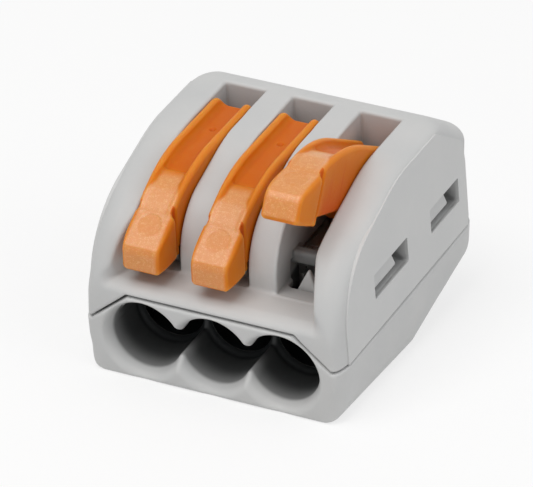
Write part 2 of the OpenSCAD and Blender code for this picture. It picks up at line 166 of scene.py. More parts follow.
def floor_material():
    """Matt grey; for what looks at it directly it is matt white with a white glow mixed in."""
    material = bpy.data.materials.new("white_floor")
    material.use_nodes = True
    tree = material.node_tree
    tree.nodes.clear()
    mask = seen_directly(tree)
    matt = tree.nodes.new("ShaderNodeBsdfDiffuse")
    tree.links.new(by_mask(tree, mask, FLOOR_BOUNCE, FLOOR_WHITE), matt.inputs["Color"])
    glow = tree.nodes.new("ShaderNodeEmission")
    mix = tree.nodes.new("ShaderNodeMixShader")
    tree.links.new(math_node(tree, "MULTIPLY", mask, 1 - SHADOW_SHARE), mix.inputs["Fac"])
    tree.links.new(matt.outputs[0], mix.inputs[1])
    tree.links.new(glow.outputs[0], mix.inputs[2])
    output = tree.nodes.new("ShaderNodeOutputMaterial")
    tree.links.new(mix.outputs[0], output.inputs["Surface"])
    return material


def light_world(strength):
    """Even light of the given strength, seen directly as plain white."""
    world = bpy.data.worlds.new("studio")
    world.use_nodes = True
    tree = world.node_tree
    background = tree.nodes["Background"]
    background.inputs["Color"].default_value = (1, 1, 1, 1)
    tree.links.new(by_mask(tree, seen_directly(tree), strength, 1), background.inputs["Strength"])
    scene.world = world


def area_lamp(name, place, size, watts, tint):
    """Square lamp at a place in metres, turned to look at the object."""
    data = bpy.data.lights.new(name, "AREA")
    data.energy = watts
    data.size = size
    data.color = tint
    lamp = bpy.data.objects.new(name, data)
    lamp.location = place
    lamp.rotation_euler = (AIM - lamp.location).to_track_quat("-Z", "Y").to_euler()
    scene.collection.objects.link(lamp)


floor_mesh = bpy.data.meshes.new("floor")
corners = [(-FLOOR_HALF, -FLOOR_HALF, 0), (FLOOR_HALF, -FLOOR_HALF, 0),
           (FLOOR_HALF, FLOOR_HALF, 0), (-FLOOR_HALF, FLOOR_HALF, 0)]
floor_mesh.from_pydata(corners, [], [(0, 1, 2, 3)])
floor = bpy.data.objects.new("floor", floor_mesh)
floor_mesh.materials.append(floor_material())
scene.collection.objects.link(floor)
light_world(strength=0.5)
area_lamp("key_lamp", (-0.05, -0.17, 0.37), size=0.26, watts=0.81, tint=(1, 0.99, 0.975))
area_lamp("fill_lamp", (0.31, -0.03, 0.25), size=0.3, watts=0.3, tint=(0.97, 0.985, 1))
scene.view_settings.view_transform = "Standard"
print("floor, world and", len(bpy.data.lights), "lamps")

# %% [markdown]
# ## Shared finishes and painted light as node groups
#
# Moulded plastic has a fine texture from the spark-eroded mould and faint clouds of colour. Its rounded edges
# would catch the light; here a painted highlight stands in for that, and painted shade darkens inner corners and
# deep insides. Each of these is wanted on more than one
# material, so each is a node group with its own inputs. A group only hands out values; the shader that
# uses them stays in the material. The grain reads Object coordinates, which are metres here, so a grain
# of a tenth of a millimetre needs a texture scale in the thousands. The painted edge highlight, the painted shade
# in hollows and the dark painted shade deep inside come from attributes: numbers that a piece keeps at its
# vertices and the shader blends over its faces.

# %% Node group helpers


def new_group(name, inputs, outputs):
    """Empty shader group with float inputs {name: default} and named float outputs."""
    group = bpy.data.node_groups.new(name, "ShaderNodeTree")
    for label, default in inputs.items():
        socket = group.interface.new_socket(name=label, in_out="INPUT", socket_type="NodeSocketFloat")
        socket.default_value = default
    for label in outputs:
        group.interface.new_socket(name=label, in_out="OUTPUT", socket_type="NodeSocketFloat")
    return group, group.nodes.new("NodeGroupInput"), group.nodes.new("NodeGroupOutput")


def ranged(tree, value, low, high):
    """Map Range node that takes low..high to 0..1 and stops there."""
    node = tree.nodes.new("ShaderNodeMapRange")
    node.inputs["From Min"].default_value = low
    node.inputs["From Max"].default_value = high
    tree.links.new(value, node.inputs["Value"])
    return node.outputs["Result"]


# %% Grain, clouds, painted edge highlights and painted shade


def grain_group():
    """Mould grain: fine noise plus a coarser one, and slow clouds of colour."""
    group, given, result = new_group("mould_grain", {"Scale": 9000.0}, ("Height", "Clouds"))
    place = group.nodes.new("ShaderNodeTexCoord").outputs["Object"]
    fine = group.nodes.new("ShaderNodeTexNoise")
    fine.inputs["Detail"].default_value = 3.0
    group.links.new(place, fine.inputs["Vector"])
    group.links.new(given.outputs["Scale"], fine.inputs["Scale"])
    coarse = group.nodes.new("ShaderNodeTexNoise")
    coarse.inputs["Detail"].default_value = 2.0
    group.links.new(place, coarse.inputs["Vector"])
    group.links.new(math_node(group, "MULTIPLY", given.outputs["Scale"], 0.28), coarse.inputs["Scale"])
    height = math_node(group, "ADD", fine.outputs["Fac"],
                       math_node(group, "MULTIPLY", coarse.outputs["Fac"], 0.6))
    group.links.new(height, result.inputs["Height"])
    clouds = group.nodes.new("ShaderNodeTexNoise")
    clouds.inputs["Scale"].default_value = 260.0
    clouds.inputs["Detail"].default_value = 4.0
    group.links.new(place, clouds.inputs["Vector"])
    group.links.new(ranged(group, clouds.outputs["Fac"], 0.3, 0.7), result.inputs["Clouds"])
    return group


def painted_light_group():
    """Painted highlight on edges and painted shade in hollows, from the piece's own attribute: the solid share of
    a small box round each point.

    On a flat that share is a half, on an outer edge a quarter, in an inner corner three quarters. A second
    attribute, recess, is how deep inside an entry or a slot the point lies; it sets a darker painted shade there.
    """
    group, _, result = new_group("painted_edge_light_and_shade", {}, ("Painted Highlight", "Painted Shade", "Painted Inside Shade"))
    share = group.nodes.new("ShaderNodeAttribute")
    share.attribute_name = "solid_share"
    group.links.new(ranged(group, share.outputs["Fac"], 0.42, 0.26), result.inputs["Painted Highlight"])
    group.links.new(ranged(group, share.outputs["Fac"], 0.55, 0.8), result.inputs["Painted Shade"])
    recess = group.nodes.new("ShaderNodeAttribute")
    recess.attribute_name = "recess"
    group.links.new(recess.outputs["Fac"], result.inputs["Painted Inside Shade"])
    return group


GRAIN, PAINTED_LIGHT = grain_group(), painted_light_group()
print("node groups:", [group.name for group in bpy.data.node_groups])

# %% [markdown]
# ## Materials
#
# The grey is a pale neutral plastic with a satin face. The orange is clearer: light goes a little way into
# it, which subsurface scattering imitates. Its finger pads are frosted for grip, so there a rough coat and a
# deeper grain lie over the colour, with a paler tone that is partly the frosting's own and partly painted sheen,
# and fine painted glints. The clamps are rolled spring strip, whose fine
# lines run along the strip, and the current bar is copper under dull tin. All of them start from the
# Principled shader; the groups vary its colour, its roughness and its normal.

# %% Material helpers


def new_material(name, colour, roughness, metallic=0.0):
    """Material with a Principled shader; gives the material, its tree and the shader."""
    material = bpy.data.materials.new(name)
    material.use_nodes = True
    tree = material.node_tree
    shader = tree.nodes["Principled BSDF"]
    shader.inputs["Base Color"].default_value = (*colour, 1)
    shader.inputs["Roughness"].default_value = roughness
    shader.inputs["Metallic"].default_value = metallic
    material.diffuse_color = (*colour, 1)
    return material, tree, shader


def place_group(tree, group, **values):
    """Group node in a material, with its own input values."""
    node = tree.nodes.new("ShaderNodeGroup")
    node.node_tree = group
    for label, value in values.items():
        node.inputs[label].default_value = value
    return node


def mixed_colour(tree, mask, first, second):
    """Colour that goes from first to second with the mask; each is a colour or a socket."""
    node = tree.nodes.new("ShaderNodeMix")
    node.data_type = "RGBA"
    tree.links.new(mask, node.inputs["Factor"])
    for label, value in (("A", first), ("B", second)):
        socket = next(s for s in node.inputs if s.name == label and s.type == "RGBA")
        if isinstance(value, tuple):
            socket.default_value = (*value, 1)
        else:
            tree.links.new(value, socket)
    return next(s for s in node.outputs if s.type == "RGBA")


def bumped(tree, shader, height, distance, strength):
    """Bump node that feeds the shader's normal."""
    bump = tree.nodes.new("ShaderNodeBump")
    bump.inputs["Distance"].default_value = distance
    bump.inputs["Strength"].default_value = strength
    tree.links.new(height, bump.inputs["Height"])
    tree.links.new(bump.outputs["Normal"], shader.inputs["Normal"])


# %% Plastics
GREY_GRAIN, ORANGE_GRAIN, GLINT_GRAIN = 9000.0, 6000.0, 17000.0
GREY_DEPTH, ORANGE_DEPTH = 0.012 * MM, 0.035 * MM


def moulded_plastic(name, tones, roughness, grain_scale, grain_depth):
    """Grained plastic: clouds between two tones, a painted highlight on edges, painted shade in hollows and a dark
    painted shade deep inside.

    tones: base, cloud, painted edge highlight, painted hollow shade and painted inside shade colour.
    """
    material, tree, shader = new_material(name, tones[0], roughness[0])
    grain = place_group(tree, GRAIN, Scale=grain_scale)
    edges = place_group(tree, PAINTED_LIGHT)
    clouded = mixed_colour(tree, grain.outputs["Clouds"], tones[0], tones[1])
    # Painted light: a lighter tone on edges stands in for their highlight, and darker tones stand in for the shade
    # in inner corners and deep inside.
    lit = mixed_colour(tree, math_node(tree, "MULTIPLY", edges.outputs["Painted Highlight"], 0.35), clouded, tones[2])
    deep = mixed_colour(tree, math_node(tree, "MULTIPLY", edges.outputs["Painted Shade"], 0.7), lit, tones[3])
    inside = mixed_colour(tree, edges.outputs["Painted Inside Shade"], deep, tones[4])
    tree.links.new(inside, shader.inputs["Base Color"])
    span = math_node(tree, "MULTIPLY", grain.outputs["Height"], roughness[1] - roughness[0])
    tree.links.new(math_node(tree, "ADD", span, roughness[0]), shader.inputs["Roughness"])
    bumped(tree, shader, grain.outputs["Height"], grain_depth, 0.6)
    return material, tree, shader, grain


def grey_material():
    """Satin light grey of the housing and the base."""
    # Base and cloud grey, then a painted edge highlight, a painted shade for hollows and a near-black painted
    # shade for the insides of entries, slots and tray.
    tones = ((0.52, 0.525, 0.525), (0.56, 0.56, 0.555), (0.64, 0.64, 0.635), (0.4, 0.395, 0.385),
             (0.018, 0.02, 0.021))
    material, _, shader, _ = moulded_plastic("grey_plastic", tones, (0.38, 0.52), GREY_GRAIN, GREY_DEPTH)
    shader.inputs["Specular IOR Level"].default_value = 0.4
    return material


def orange_material():
    """Orange of the levers. Where a finger presses, the attribute pad adds grain, a frosted coat, a paler colour
    that is partly painted sheen, and painted glints.
    """
    # Base and cloud orange, then a painted edge highlight, a painted shade for hollows and a deeper orange painted
    # shade for the channel, flanks, notches and hub.
    tones = ((0.61, 0.165, 0.005), (0.65, 0.19, 0.008), (0.86, 0.42, 0.09), (0.5, 0.075, 0.001),
             (0.54, 0.055, 0.001))
    material, tree, shader, grain = moulded_plastic("orange_plastic", tones, (0.3, 0.5),
                                                    ORANGE_GRAIN, ORANGE_DEPTH)
    marked = tree.nodes.new("ShaderNodeAttribute")
    marked.attribute_name = "pad"
    pad = marked.outputs["Fac"]
    smooth = shader.inputs["Base Color"].links[0].from_socket
    # The paler pad colour is partly the frosting's own tone and partly a painted sheen; the glints mixed in below
    # are painted highlights.
    frosted = mixed_colour(tree, math_node(tree, "MULTIPLY", pad, 0.35), smooth, (0.7, 0.34, 0.08))
    glints = place_group(tree, GRAIN, Scale=GLINT_GRAIN)
    sparks = math_node(tree, "MULTIPLY", ranged(tree, glints.outputs["Height"], 0.8, 1.1), pad)
    glinting = mixed_colour(tree, math_node(tree, "MULTIPLY", sparks, 0.45), frosted, (0.9, 0.58, 0.26))
    tree.links.new(glinting, shader.inputs["Base Color"])
    depth = math_node(tree, "ADD", math_node(tree, "MULTIPLY", pad, 0.85), 0.15)
    bump = next(node for node in tree.nodes if node.bl_idname == "ShaderNodeBump")
    tree.links.new(math_node(tree, "MULTIPLY", grain.outputs["Height"], depth), bump.inputs["Height"])
    tree.links.new(math_node(tree, "MULTIPLY", pad, 0.9), shader.inputs["Coat Weight"])
    shader.inputs["Coat Roughness"].default_value = 0.4
    shader.inputs["Coat IOR"].default_value = 1.7
    shader.inputs["Specular IOR Level"].default_value = 0.14
    shader.inputs["Subsurface Weight"].default_value = 0.5
    shader.inputs["Subsurface Radius"].default_value = (1.0, 0.3, 0.05)
    shader.inputs["Subsurface Scale"].default_value = 0.0013
    return material


GREY, ORANGE = grey_material(), orange_material()

# %% Metals


def rolled_metal(name, colours, roughness, stretch):
    """Metal with fine lines along y: noise on coordinates that are squeezed across and stretched along."""
    material, tree, shader = new_material(name, colours[0], roughness, metallic=1.0)
    place = tree.nodes.new("ShaderNodeTexCoord").outputs["Object"]
    squeeze = tree.nodes.new("ShaderNodeMapping")
    squeeze.inputs["Scale"].default_value = stretch
    tree.links.new(place, squeeze.inputs["Vector"])
    lines = tree.nodes.new("ShaderNodeTexNoise")
    lines.inputs["Scale"].default_value = 1000.0
    lines.inputs["Detail"].default_value = 3.0
    tree.links.new(squeeze.outputs["Vector"], lines.inputs["Vector"])
    mask = ranged(tree, lines.outputs["Fac"], 0.3, 0.7)
    grain = place_group(tree, GRAIN, Scale=4000.0)
    worn = mixed_colour(tree, mask, colours[0], colours[1])
    tree.links.new(mixed_colour(tree, grain.outputs["Clouds"], worn, colours[2]), shader.inputs["Base Color"])
    shine = math_node(tree, "ADD", math_node(tree, "MULTIPLY", mask, 0.16), roughness)
    tree.links.new(shine, shader.inputs["Roughness"])
    bumped(tree, shader, mask, 0.000004, 0.5)
    return material


STEEL = rolled_metal("spring_steel", ((0.62, 0.61, 0.58), (0.7, 0.69, 0.66), (0.66, 0.645, 0.61)),
                     0.26, (9.0, 0.5, 9.0))
TIN = rolled_metal("tinned_copper", ((0.7, 0.68, 0.63), (0.76, 0.75, 0.72), (0.72, 0.66, 0.58)),
                   0.34, (0.6, 6.0, 6.0))
print("materials:", [m.name for m in (GREY, ORANGE, STEEL, TIN)])

# %% [markdown]
# ## Solids as distance fields
#
# The shells and levers are full of openings with soft edges, which no single grid of two parameters can
# follow. So they are written as distance fields: a formula gives, for every point of a box, how far
# outside (positive) or inside (negative) the solid it is. Two solids meet by taking the larger or the
# smaller of their fields, and a rounded version of that gives every edge its own radius, as a mould maker
# would. Whole arrays are worked out at once, and the surface is then laid through the zero level.

# %% Field helpers


def rounded_and(a, b, ra, rb=None):
    """Where both solids are: the larger field, with a quarter ellipse of radii ra and rb along the edge."""
    rb = ra if rb is None else rb
    scale = np.minimum(ra, rb)
    p, q = a / ra + 1, b / rb + 1
    return scale * (np.minimum(np.maximum(p, q), 0) - 1 + np.hypot(np.maximum(p, 0), np.maximum(q, 0)))


def rounded_or(a, b, r):
    """Where either solid is, with a fillet of radius r in the inner corner: rounded_and of the outsides."""
    return -rounded_and(-a, -b, r)


def cut(solid, tool, r):
    """The solid without the tool, its new edges rounded to r."""
    return rounded_and(solid, -tool, r)


def all_of(*solids):
    """Where all the solids are, with sharp edges: the largest field."""
    return functools.reduce(np.maximum, solids)


def any_of(*solids):
    """Where any of the solids is: the smallest field."""
    return functools.reduce(np.minimum, solids)


def carved(solid, tool):
    """The solid without the tool, with sharp edges."""
    return np.maximum(solid, -tool)


def between(value, low, high):
    """Distance outside the slab low..high."""
    return np.maximum(low - value, value - high)


def soft_step(value, low, high):
    """0 up to low, 1 from high on, and a smooth rise between them."""
    t = np.clip((value - low) / (high - low), 0, 1)
    return t * t * (3 - 2 * t)


def outline_field(points, u, v):
    """Signed distance to a closed outline in a plane: the nearest edge's distance, negative inside.

    A point is inside if a ray from it crosses the outline an odd number of times.
    """
    a = np.asarray(points, float)
    b = np.roll(a, -1, axis=0)
    u, v = np.broadcast_arrays(u, v)
    du, dv = (b - a).T
    wu, wv = u[..., None] - a[:, 0], v[..., None] - a[:, 1]
    along = np.clip((wu * du + wv * dv) / np.maximum(du * du + dv * dv, 1e-12), 0, 1)
    distance = np.sqrt(((wu - along * du) ** 2 + (wv - along * dv) ** 2).min(axis=-1))
    straddles = (a[:, 1] > v[..., None]) != (b[:, 1] > v[..., None])
    level = np.where(dv == 0, 1.0, dv)
    crossings = (straddles & (wu < du * wv / level)).sum(axis=-1)
    return np.where(crossings % 2 == 1, -distance, distance)


def rounded_outline(corners, u, v):
    """Field of a convex outline of corners (u, v, radius), given anticlockwise.

    It is the distance beyond the furthest edge line. Between the two tangent directions of a corner it is
    the distance from the centre of the corner's arc, less the radius, so every curve is a true circle.
    """
    spots, radii = np.array(corners, float)[:, :2], np.array(corners, float)[:, 2]
    ahead = np.roll(spots, -1, axis=0) - spots
    ahead /= np.linalg.norm(ahead, axis=1)[:, None]
    out = np.column_stack((ahead[:, 1], -ahead[:, 0]))
    field = np.max([(u - spot[0]) * n[0] + (v - spot[1]) * n[1] for spot, n in zip(spots, out)], axis=0)
    for i, (spot, r) in enumerate(zip(spots, radii)):
        centre = spot - r * (out[i - 1] + out[i]) / (1 + out[i - 1] @ out[i])
        du, dv = u - centre[0], v - centre[1]
        begun = du * ahead[i - 1, 0] + dv * ahead[i - 1, 1] > 0
        ended = du * ahead[i, 0] + dv * ahead[i, 1] >= 0
        field = np.where(begun & ~ended, np.hypot(du, dv) - r, field)
    return field


def arc_points(centre, r, a0, a1, steps):
    """Points along an arc from angle a0 to a1, in degrees."""
    angle = np.radians(np.linspace(a0, a1, steps + 1))
    return np.column_stack((centre[0] + r * np.cos(angle), centre[1] + r * np.sin(angle)))


# %% [markdown]
# ## From a field to a mesh
#
# Surface nets turn a grid of field values into a mesh: every cell that the surface passes gets one vertex,
# and every grid edge that it cuts gets a quad. The vertices then lie near the surface but not on it, so each
# is pulled there along the field's slope. The slope also gives the direction in which the surface faces,
# truer than the small quads could, so it is kept for the shading.

# %% From field to mesh
CUBE = np.array(list(np.ndindex(2, 2, 2)))
CUBE_EDGES = [(a, a | bit) for a in range(8) for bit in (1, 2, 4) if not a & bit]


def half_grid(x_end, y_span, z_span, step):
    """Grid of the right half, ready to broadcast: x from half a step, y and z over their spans."""
    x = (np.arange(int(x_end / step) + 1) + 0.5) * step
    y = np.arange(y_span[0], y_span[1] + step, step)
    z = np.arange(z_span[0], z_span[1] + step, step)
    return x[:, None, None], y[None, :, None], z[None, None, :]


def surface_nets(field):
    """Surface through the zero level, in grid steps.

    Each grid cell that it passes gets one vertex, the mean of the zero points on the cell's twelve edges.
    Each grid edge that crosses it gets a quad of the four cells round it, turned to face outwards.
    """
    inside = field < 0
    cells = tuple(n - 1 for n in field.shape)
    views = [tuple(slice(o, o + n) for o, n in zip(corner, cells)) for corner in CUBE]
    full = sum(inside[v].astype(np.int8) for v in views)
    active = (full > 0) & (full < 8)
    values = np.stack([field[v][active] for v in views], axis=1)
    total, hits = np.zeros((len(values), 3)), np.zeros(len(values))
    for a, b in CUBE_EDGES:
        crosses = (values[:, a] < 0) != (values[:, b] < 0)
        share = np.where(crosses, values[:, a] / np.where(crosses, values[:, a] - values[:, b], 1), 0)
        total += crosses[:, None] * (CUBE[a] + share[:, None] * (CUBE[b] - CUBE[a]))
        hits += crosses
    vertices = np.argwhere(active) + total / hits[:, None]
    index = np.full(cells, -1)
    index[active] = np.arange(len(vertices))
    quads = []
    for axis in range(3):
        order = (axis, (axis + 1) % 3, (axis + 2) % 3)
        solid, cell = inside.transpose(order), index.transpose(order)
        i, j, k = np.nonzero(solid[:-1, 1:-1, 1:-1] != solid[1:, 1:-1, 1:-1])
        ring = np.stack((cell[i, j, k], cell[i, j + 1, k], cell[i, j + 1, k + 1], cell[i, j, k + 1]), axis=1)
        outwards = solid[i, j + 1, k + 1]
        quads.append(np.where(outwards[:, None], ring, ring[:, ::-1]))
    return vertices, np.concatenate(quads)


def sampled(values, places):
    """Grid values at places between the grid points: the mean of the eight around, weighted by nearness."""
    base = np.clip(np.floor(places).astype(int), 0, np.array(values.shape) - 2)
    part = places - base
    weights = [np.where(corner, part, 1 - part).prod(axis=1) for corner in CUBE]
    return sum(w * values[tuple((base + corner).T)] for w, corner in zip(weights, CUBE))


def pulled(field, vertices):
    """Vertices drawn onto the zero level, and the direction out of the surface there.

    The field's slope points outwards. A vertex moves along it by the field's value over the slope's length.
    """
    slopes = np.gradient(field.astype(np.float32))
    for _ in range(2):
        slope = np.column_stack([sampled(part, vertices) for part in slopes])
        steep = np.maximum((slope ** 2).sum(axis=1), 1e-9)
        move = slope * (sampled(field, vertices) / steep)[:, None]
        vertices = vertices - np.clip(move, -0.5, 0.5)
    slope = np.column_stack([sampled(part, vertices) for part in slopes])
    return vertices, slope / np.maximum(np.linalg.norm(slope, axis=1), 1e-9)[:, None]


def solid_share(field, reach, step):
    """Solid share of a box of cells round each grid point: running sums of the inside along the three axes.

    A grid point near the surface counts as partly solid, or the curves would show the grid as stripes.
    """
    share = np.clip(0.5 - field / (2 * step), 0, 1).astype(np.float32)
    width = 2 * reach + 1
    for axis in range(3):
        padded = np.pad(share, [(reach + 1, reach) if a == axis else (0, 0) for a in range(3)], mode="edge")
        sums = np.cumsum(padded, axis=axis, dtype=np.float64)
        upper = np.take(sums, range(width, sums.shape[axis]), axis=axis)
        lower = np.take(sums, range(0, sums.shape[axis] - width), axis=axis)
        share = ((upper - lower) / width).astype(np.float32)
    return share


# %% [markdown]
# ## Joined flats and kept normals
#
# A flat side doesn't need thousands of quads. Neighbours that lie in one plane are joined, and only the
# curves keep their small faces. A wide flat face is then shaded by its own normal, and the corners of the
# small ones take the direction that the field gave, so no edge looks dented.

# %% From arrays to a piece
BLOCK_SIZE = 1.3
FLAT_WIDTH = 0.3
FLAT_ANGLE = math.radians(25)


def mesh_of(name, vertices, faces):
    """Mesh from an array of points and one of faces with equally many corners."""
    mesh = bpy.data.meshes.new(name)
    mesh.vertices.add(len(vertices))
    mesh.vertices.foreach_set("co", np.ascontiguousarray(vertices, np.float32).ravel())
    mesh.loops.add(faces.size)
    mesh.loops.foreach_set("vertex_index", faces.astype(np.int32).ravel())
    mesh.polygons.add(len(faces))
    mesh.polygons.foreach_set("loop_start", np.arange(0, faces.size, faces.shape[1], dtype=np.int32))
    mesh.update(calc_edges=True)
    return mesh


def add_attribute(mesh, name, values):
    """One number for each vertex, for the shader to read."""
    mesh.attributes.new(name, "FLOAT", "POINT").data.foreach_set("value", values.astype(np.float32))


def points_of(mesh):
    """The mesh's vertices as an array."""
    flat = np.zeros(len(mesh.vertices) * 3, np.float32)
    mesh.vertices.foreach_get("co", flat)
    return flat.reshape(-1, 3).astype(float)


def set_points(mesh, points):
    """Moves the mesh's vertices to these points."""
    mesh.vertices.foreach_set("co", points.astype(np.float32).ravel())
    mesh.update()


def into_row(mesh, x=0.0):
    """Moves a mesh from the body frame, x to the right, into the row frame."""
    set_points(mesh, to_row(points_of(mesh) + (x, 0, 0)))


def of_faces(mesh, name, width, kind):
    """A property of all faces as an array."""
    flat = np.zeros(len(mesh.polygons) * width, kind)
    mesh.polygons.foreach_get(name, flat)
    return flat.reshape(-1, width) if width > 1 else flat


def merge_flats(mesh, degrees):
    """Joins faces that lie in one plane, so that only the curves keep their small quads.

    A vertex is on a flat if all its faces have its direction; every other edge is marked as a seam, which
    the joining stops at. Joining a whole side at once is slow, so the faces are first joined inside blocks
    of a fixed size. Eight material numbers, given by the parity of a block's place along the three axes,
    keep the blocks apart.
    """
    vertex = np.zeros(len(mesh.loops), np.int32)
    mesh.loops.foreach_get("vertex_index", vertex)
    corners = of_faces(mesh, "loop_total", 1, np.int32)
    facing = np.repeat(of_faces(mesh, "normal", 3, np.float32), corners, axis=0)
    mean = np.zeros((len(mesh.vertices), 3), np.float32)
    np.add.at(mean, vertex, facing)
    mean /= np.linalg.norm(mean, axis=1)[:, None]
    curved = np.zeros(len(mesh.vertices), bool)
    curved[vertex[(facing * mean[vertex]).sum(axis=1) < math.cos(math.radians(degrees))]] = True
    ends = np.zeros(len(mesh.edges) * 2, np.int32)
    mesh.edges.foreach_get("vertices", ends)
    mesh.edges.foreach_set("use_seam", curved[ends].reshape(-1, 2).any(axis=1))
    middles = np.zeros(len(mesh.polygons) * 3, np.float32)
    mesh.polygons.foreach_get("center", middles)
    block = np.floor(middles.reshape(-1, 3) / BLOCK_SIZE).astype(int) & 1
    mesh.polygons.foreach_set("material_index", (block @ (1, 2, 4)).astype(np.int32))
    work = bmesh.new()
    work.from_mesh(mesh)
    for limits in ({"SEAM", "MATERIAL"}, {"SEAM"}):
        bmesh.ops.dissolve_limit(work, angle_limit=math.radians(degrees), verts=work.verts,
                                 edges=work.edges, delimit=limits)
    work.to_mesh(mesh)
    work.free()
    mesh.polygons.foreach_set("material_index", np.zeros(len(mesh.polygons), np.int32))
    mesh.edges.foreach_set("use_seam", np.zeros(len(mesh.edges), bool))


def corner_normals(mesh):
    """Normal of every face corner: a wide flat face keeps its own, the small faces take the field's.

    A face is wide if twice its area over the length of its rim, about its width, is more than FLAT_WIDTH. A
    vertex on the rim of wide faces takes their direction, so that a curve begins just where the flat ends.
    """
    start, total = of_faces(mesh, "loop_start", 1, np.int32), of_faces(mesh, "loop_total", 1, np.int32)
    facing, area = of_faces(mesh, "normal", 3, np.float32), of_faces(mesh, "area", 1, np.float32)
    vertex = np.zeros(len(mesh.loops), np.int32)
    mesh.loops.foreach_get("vertex_index", vertex)
    face = np.repeat(np.arange(len(start)), total)
    following = np.arange(len(vertex)) + 1
    following[start + total - 1] = start
    points = points_of(mesh)
    rim = np.bincount(face, np.linalg.norm(points[vertex[following]] - points[vertex], axis=1))
    wide = (2 * area / rim > FLAT_WIDTH)[face]
    outwards = np.zeros(len(points) * 3, np.float32)
    stored = mesh.attributes["outwards"]
    stored.data.foreach_get("vector", outwards)
    outwards = outwards.reshape(-1, 3)
    flat = np.zeros_like(outwards)
    np.add.at(flat, vertex[wide], facing[face[wide]])
    flat /= np.maximum(np.linalg.norm(flat, axis=1), 1e-9)[:, None]
    near = (flat * outwards).sum(axis=1) > math.cos(FLAT_ANGLE)
    outwards = np.where(near[:, None], flat, outwards)
    mesh.attributes.remove(stored)
    return np.where(wide[:, None], facing[face], outwards[vertex])


def contoured(name, half_field, grid, step, reach, flat_degrees):
    """Mesh in the body frame of a field that is alike on the left and the right, and its corner normals."""
    field = np.concatenate((half_field[::-1], half_field))
    low = np.array((-grid[0].max(), grid[1].min(), grid[2].min()))
    vertices, faces = surface_nets(field)
    vertices, outwards = pulled(field, vertices)
    mesh = mesh_of(name, low + step * vertices, faces)
    add_attribute(mesh, "solid_share", sampled(solid_share(field, reach, step), vertices))
    kept = mesh.attributes.new("outwards", "FLOAT_VECTOR", "POINT")
    kept.data.foreach_set("vector", outwards.astype(np.float32).ravel())
    merge_flats(mesh, flat_degrees)
    return mesh, corner_normals(mesh)


def faced_outwards(mesh):
    """The mesh with every face turned to face outwards."""
    work = bmesh.new()
    work.from_mesh(mesh)
    bmesh.ops.recalc_face_normals(work, faces=work.faces)
    work.to_mesh(mesh)
    work.free()
    return mesh


def turned(points, angle, y0=0.0, z0=0.0):
    """Points turned in the (y, z) plane about (y0, z0): y towards z for a positive angle."""
    y, z = points[:, 1] - y0, points[:, 2] - z0
    return np.column_stack((
        points[:, 0],
        y * math.cos(angle) - z * math.sin(angle) + y0,
        y * math.sin(angle) + z * math.cos(angle) + z0,
    ))


def add_piece(mesh, material, body, nodes=(), smooth=True, normals=None):
    """Object of a mesh that is already in the row frame, riding on a body.

    Given normals are kept for its corners; without them the larger faces lead.
    """
    piece = bpy.data.objects.new(mesh.name, mesh)
    mesh.materials.append(material)
    mesh.polygons.foreach_set("use_smooth", np.full(len(mesh.polygons), smooth))
    scene.collection.objects.link(piece)
    if normals is not None:
        mesh.normals_split_custom_set(normals.tolist())
    elif smooth:
        larger_first = piece.modifiers.new("flat_faces_first", "WEIGHTED_NORMAL")
        larger_first.weight = 50
    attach(piece, body)
    if nodes:
        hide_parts(*nodes)
    return piece


print("field and mesh helpers ready")

# %% [markdown]
# ## The outer form that both shells share
#
# Seen from the side, the connector has a curved front, a sloping top, a short level crest and a rear that
# drops away; below, two facets. The housing and the base are both cut from this one form, so their
# surfaces run on across the seam. The sides lean in a little towards the top, as every moulded part does,
# to leave the mould. The long upright corners are broad and shallow, the top edges small.

# %% Sizes of the outer form
BODY_D, BODY_H, BODY_HALF = 20.49, 14.1, 9.1
FRONT_R, SLOPE_Y, TOP_SLOPE, SLOPE_R = 6.35, 9.75, 18.4, 9.0
SLOT_REAR = 15.64
CREST_Y, REAR_SLOPE = SLOT_REAR + 1, math.radians(34)
CREST_R, REAR_R, KEEL_R, TOE_R = 2.2, 1.3, 1.2, 0.35
FOOT_Y, REAR_RISE = 11.25, math.radians(14)
SEAM_Z, SEAM_GAP = 4.8, 0.13
SIDE_DRAFT = math.tan(math.radians(2.6))
PANEL_RAISE = 0.06
TOP_ROUND, UPRIGHT_ROUND, UNDER_ROUND = (1.5, 0.5), (0.7, 1.9), (1.3, 1.4)
FRONT_MORE, BEHIND_MORE = 0.8, 0.55
FAR = 30.0


def bottom_at(y):
    """Height of the outside of the bottom at depth y: two facets that meet at FOOT_Y."""
    return np.where(y < FOOT_Y, (FOOT_Y - y) * math.tan(lean), (y - FOOT_Y) * math.tan(REAR_RISE))


def slope_at(y, top_in=0.0):
    """Height of the line of the sloping top at depth y."""
    return BODY_H - top_in - (SLOPE_Y - y) * math.tan(math.radians(TOP_SLOPE))


def side_view(y, z):
    """Field of the side outline: toe, foot and keel below, rear wall, crest, sloping top and curved front."""
    return rounded_outline((
        (0, bottom_at(0), TOE_R), (FOOT_Y, 0, 0), (BODY_D, bottom_at(BODY_D), KEEL_R),
        (BODY_D, BODY_H - (BODY_D - CREST_Y) * math.tan(REAR_SLOPE), REAR_R), (CREST_Y, BODY_H, CREST_R),
        (SLOPE_Y, BODY_H, SLOPE_R), (0, slope_at(0), FRONT_R),
    ), y, z)


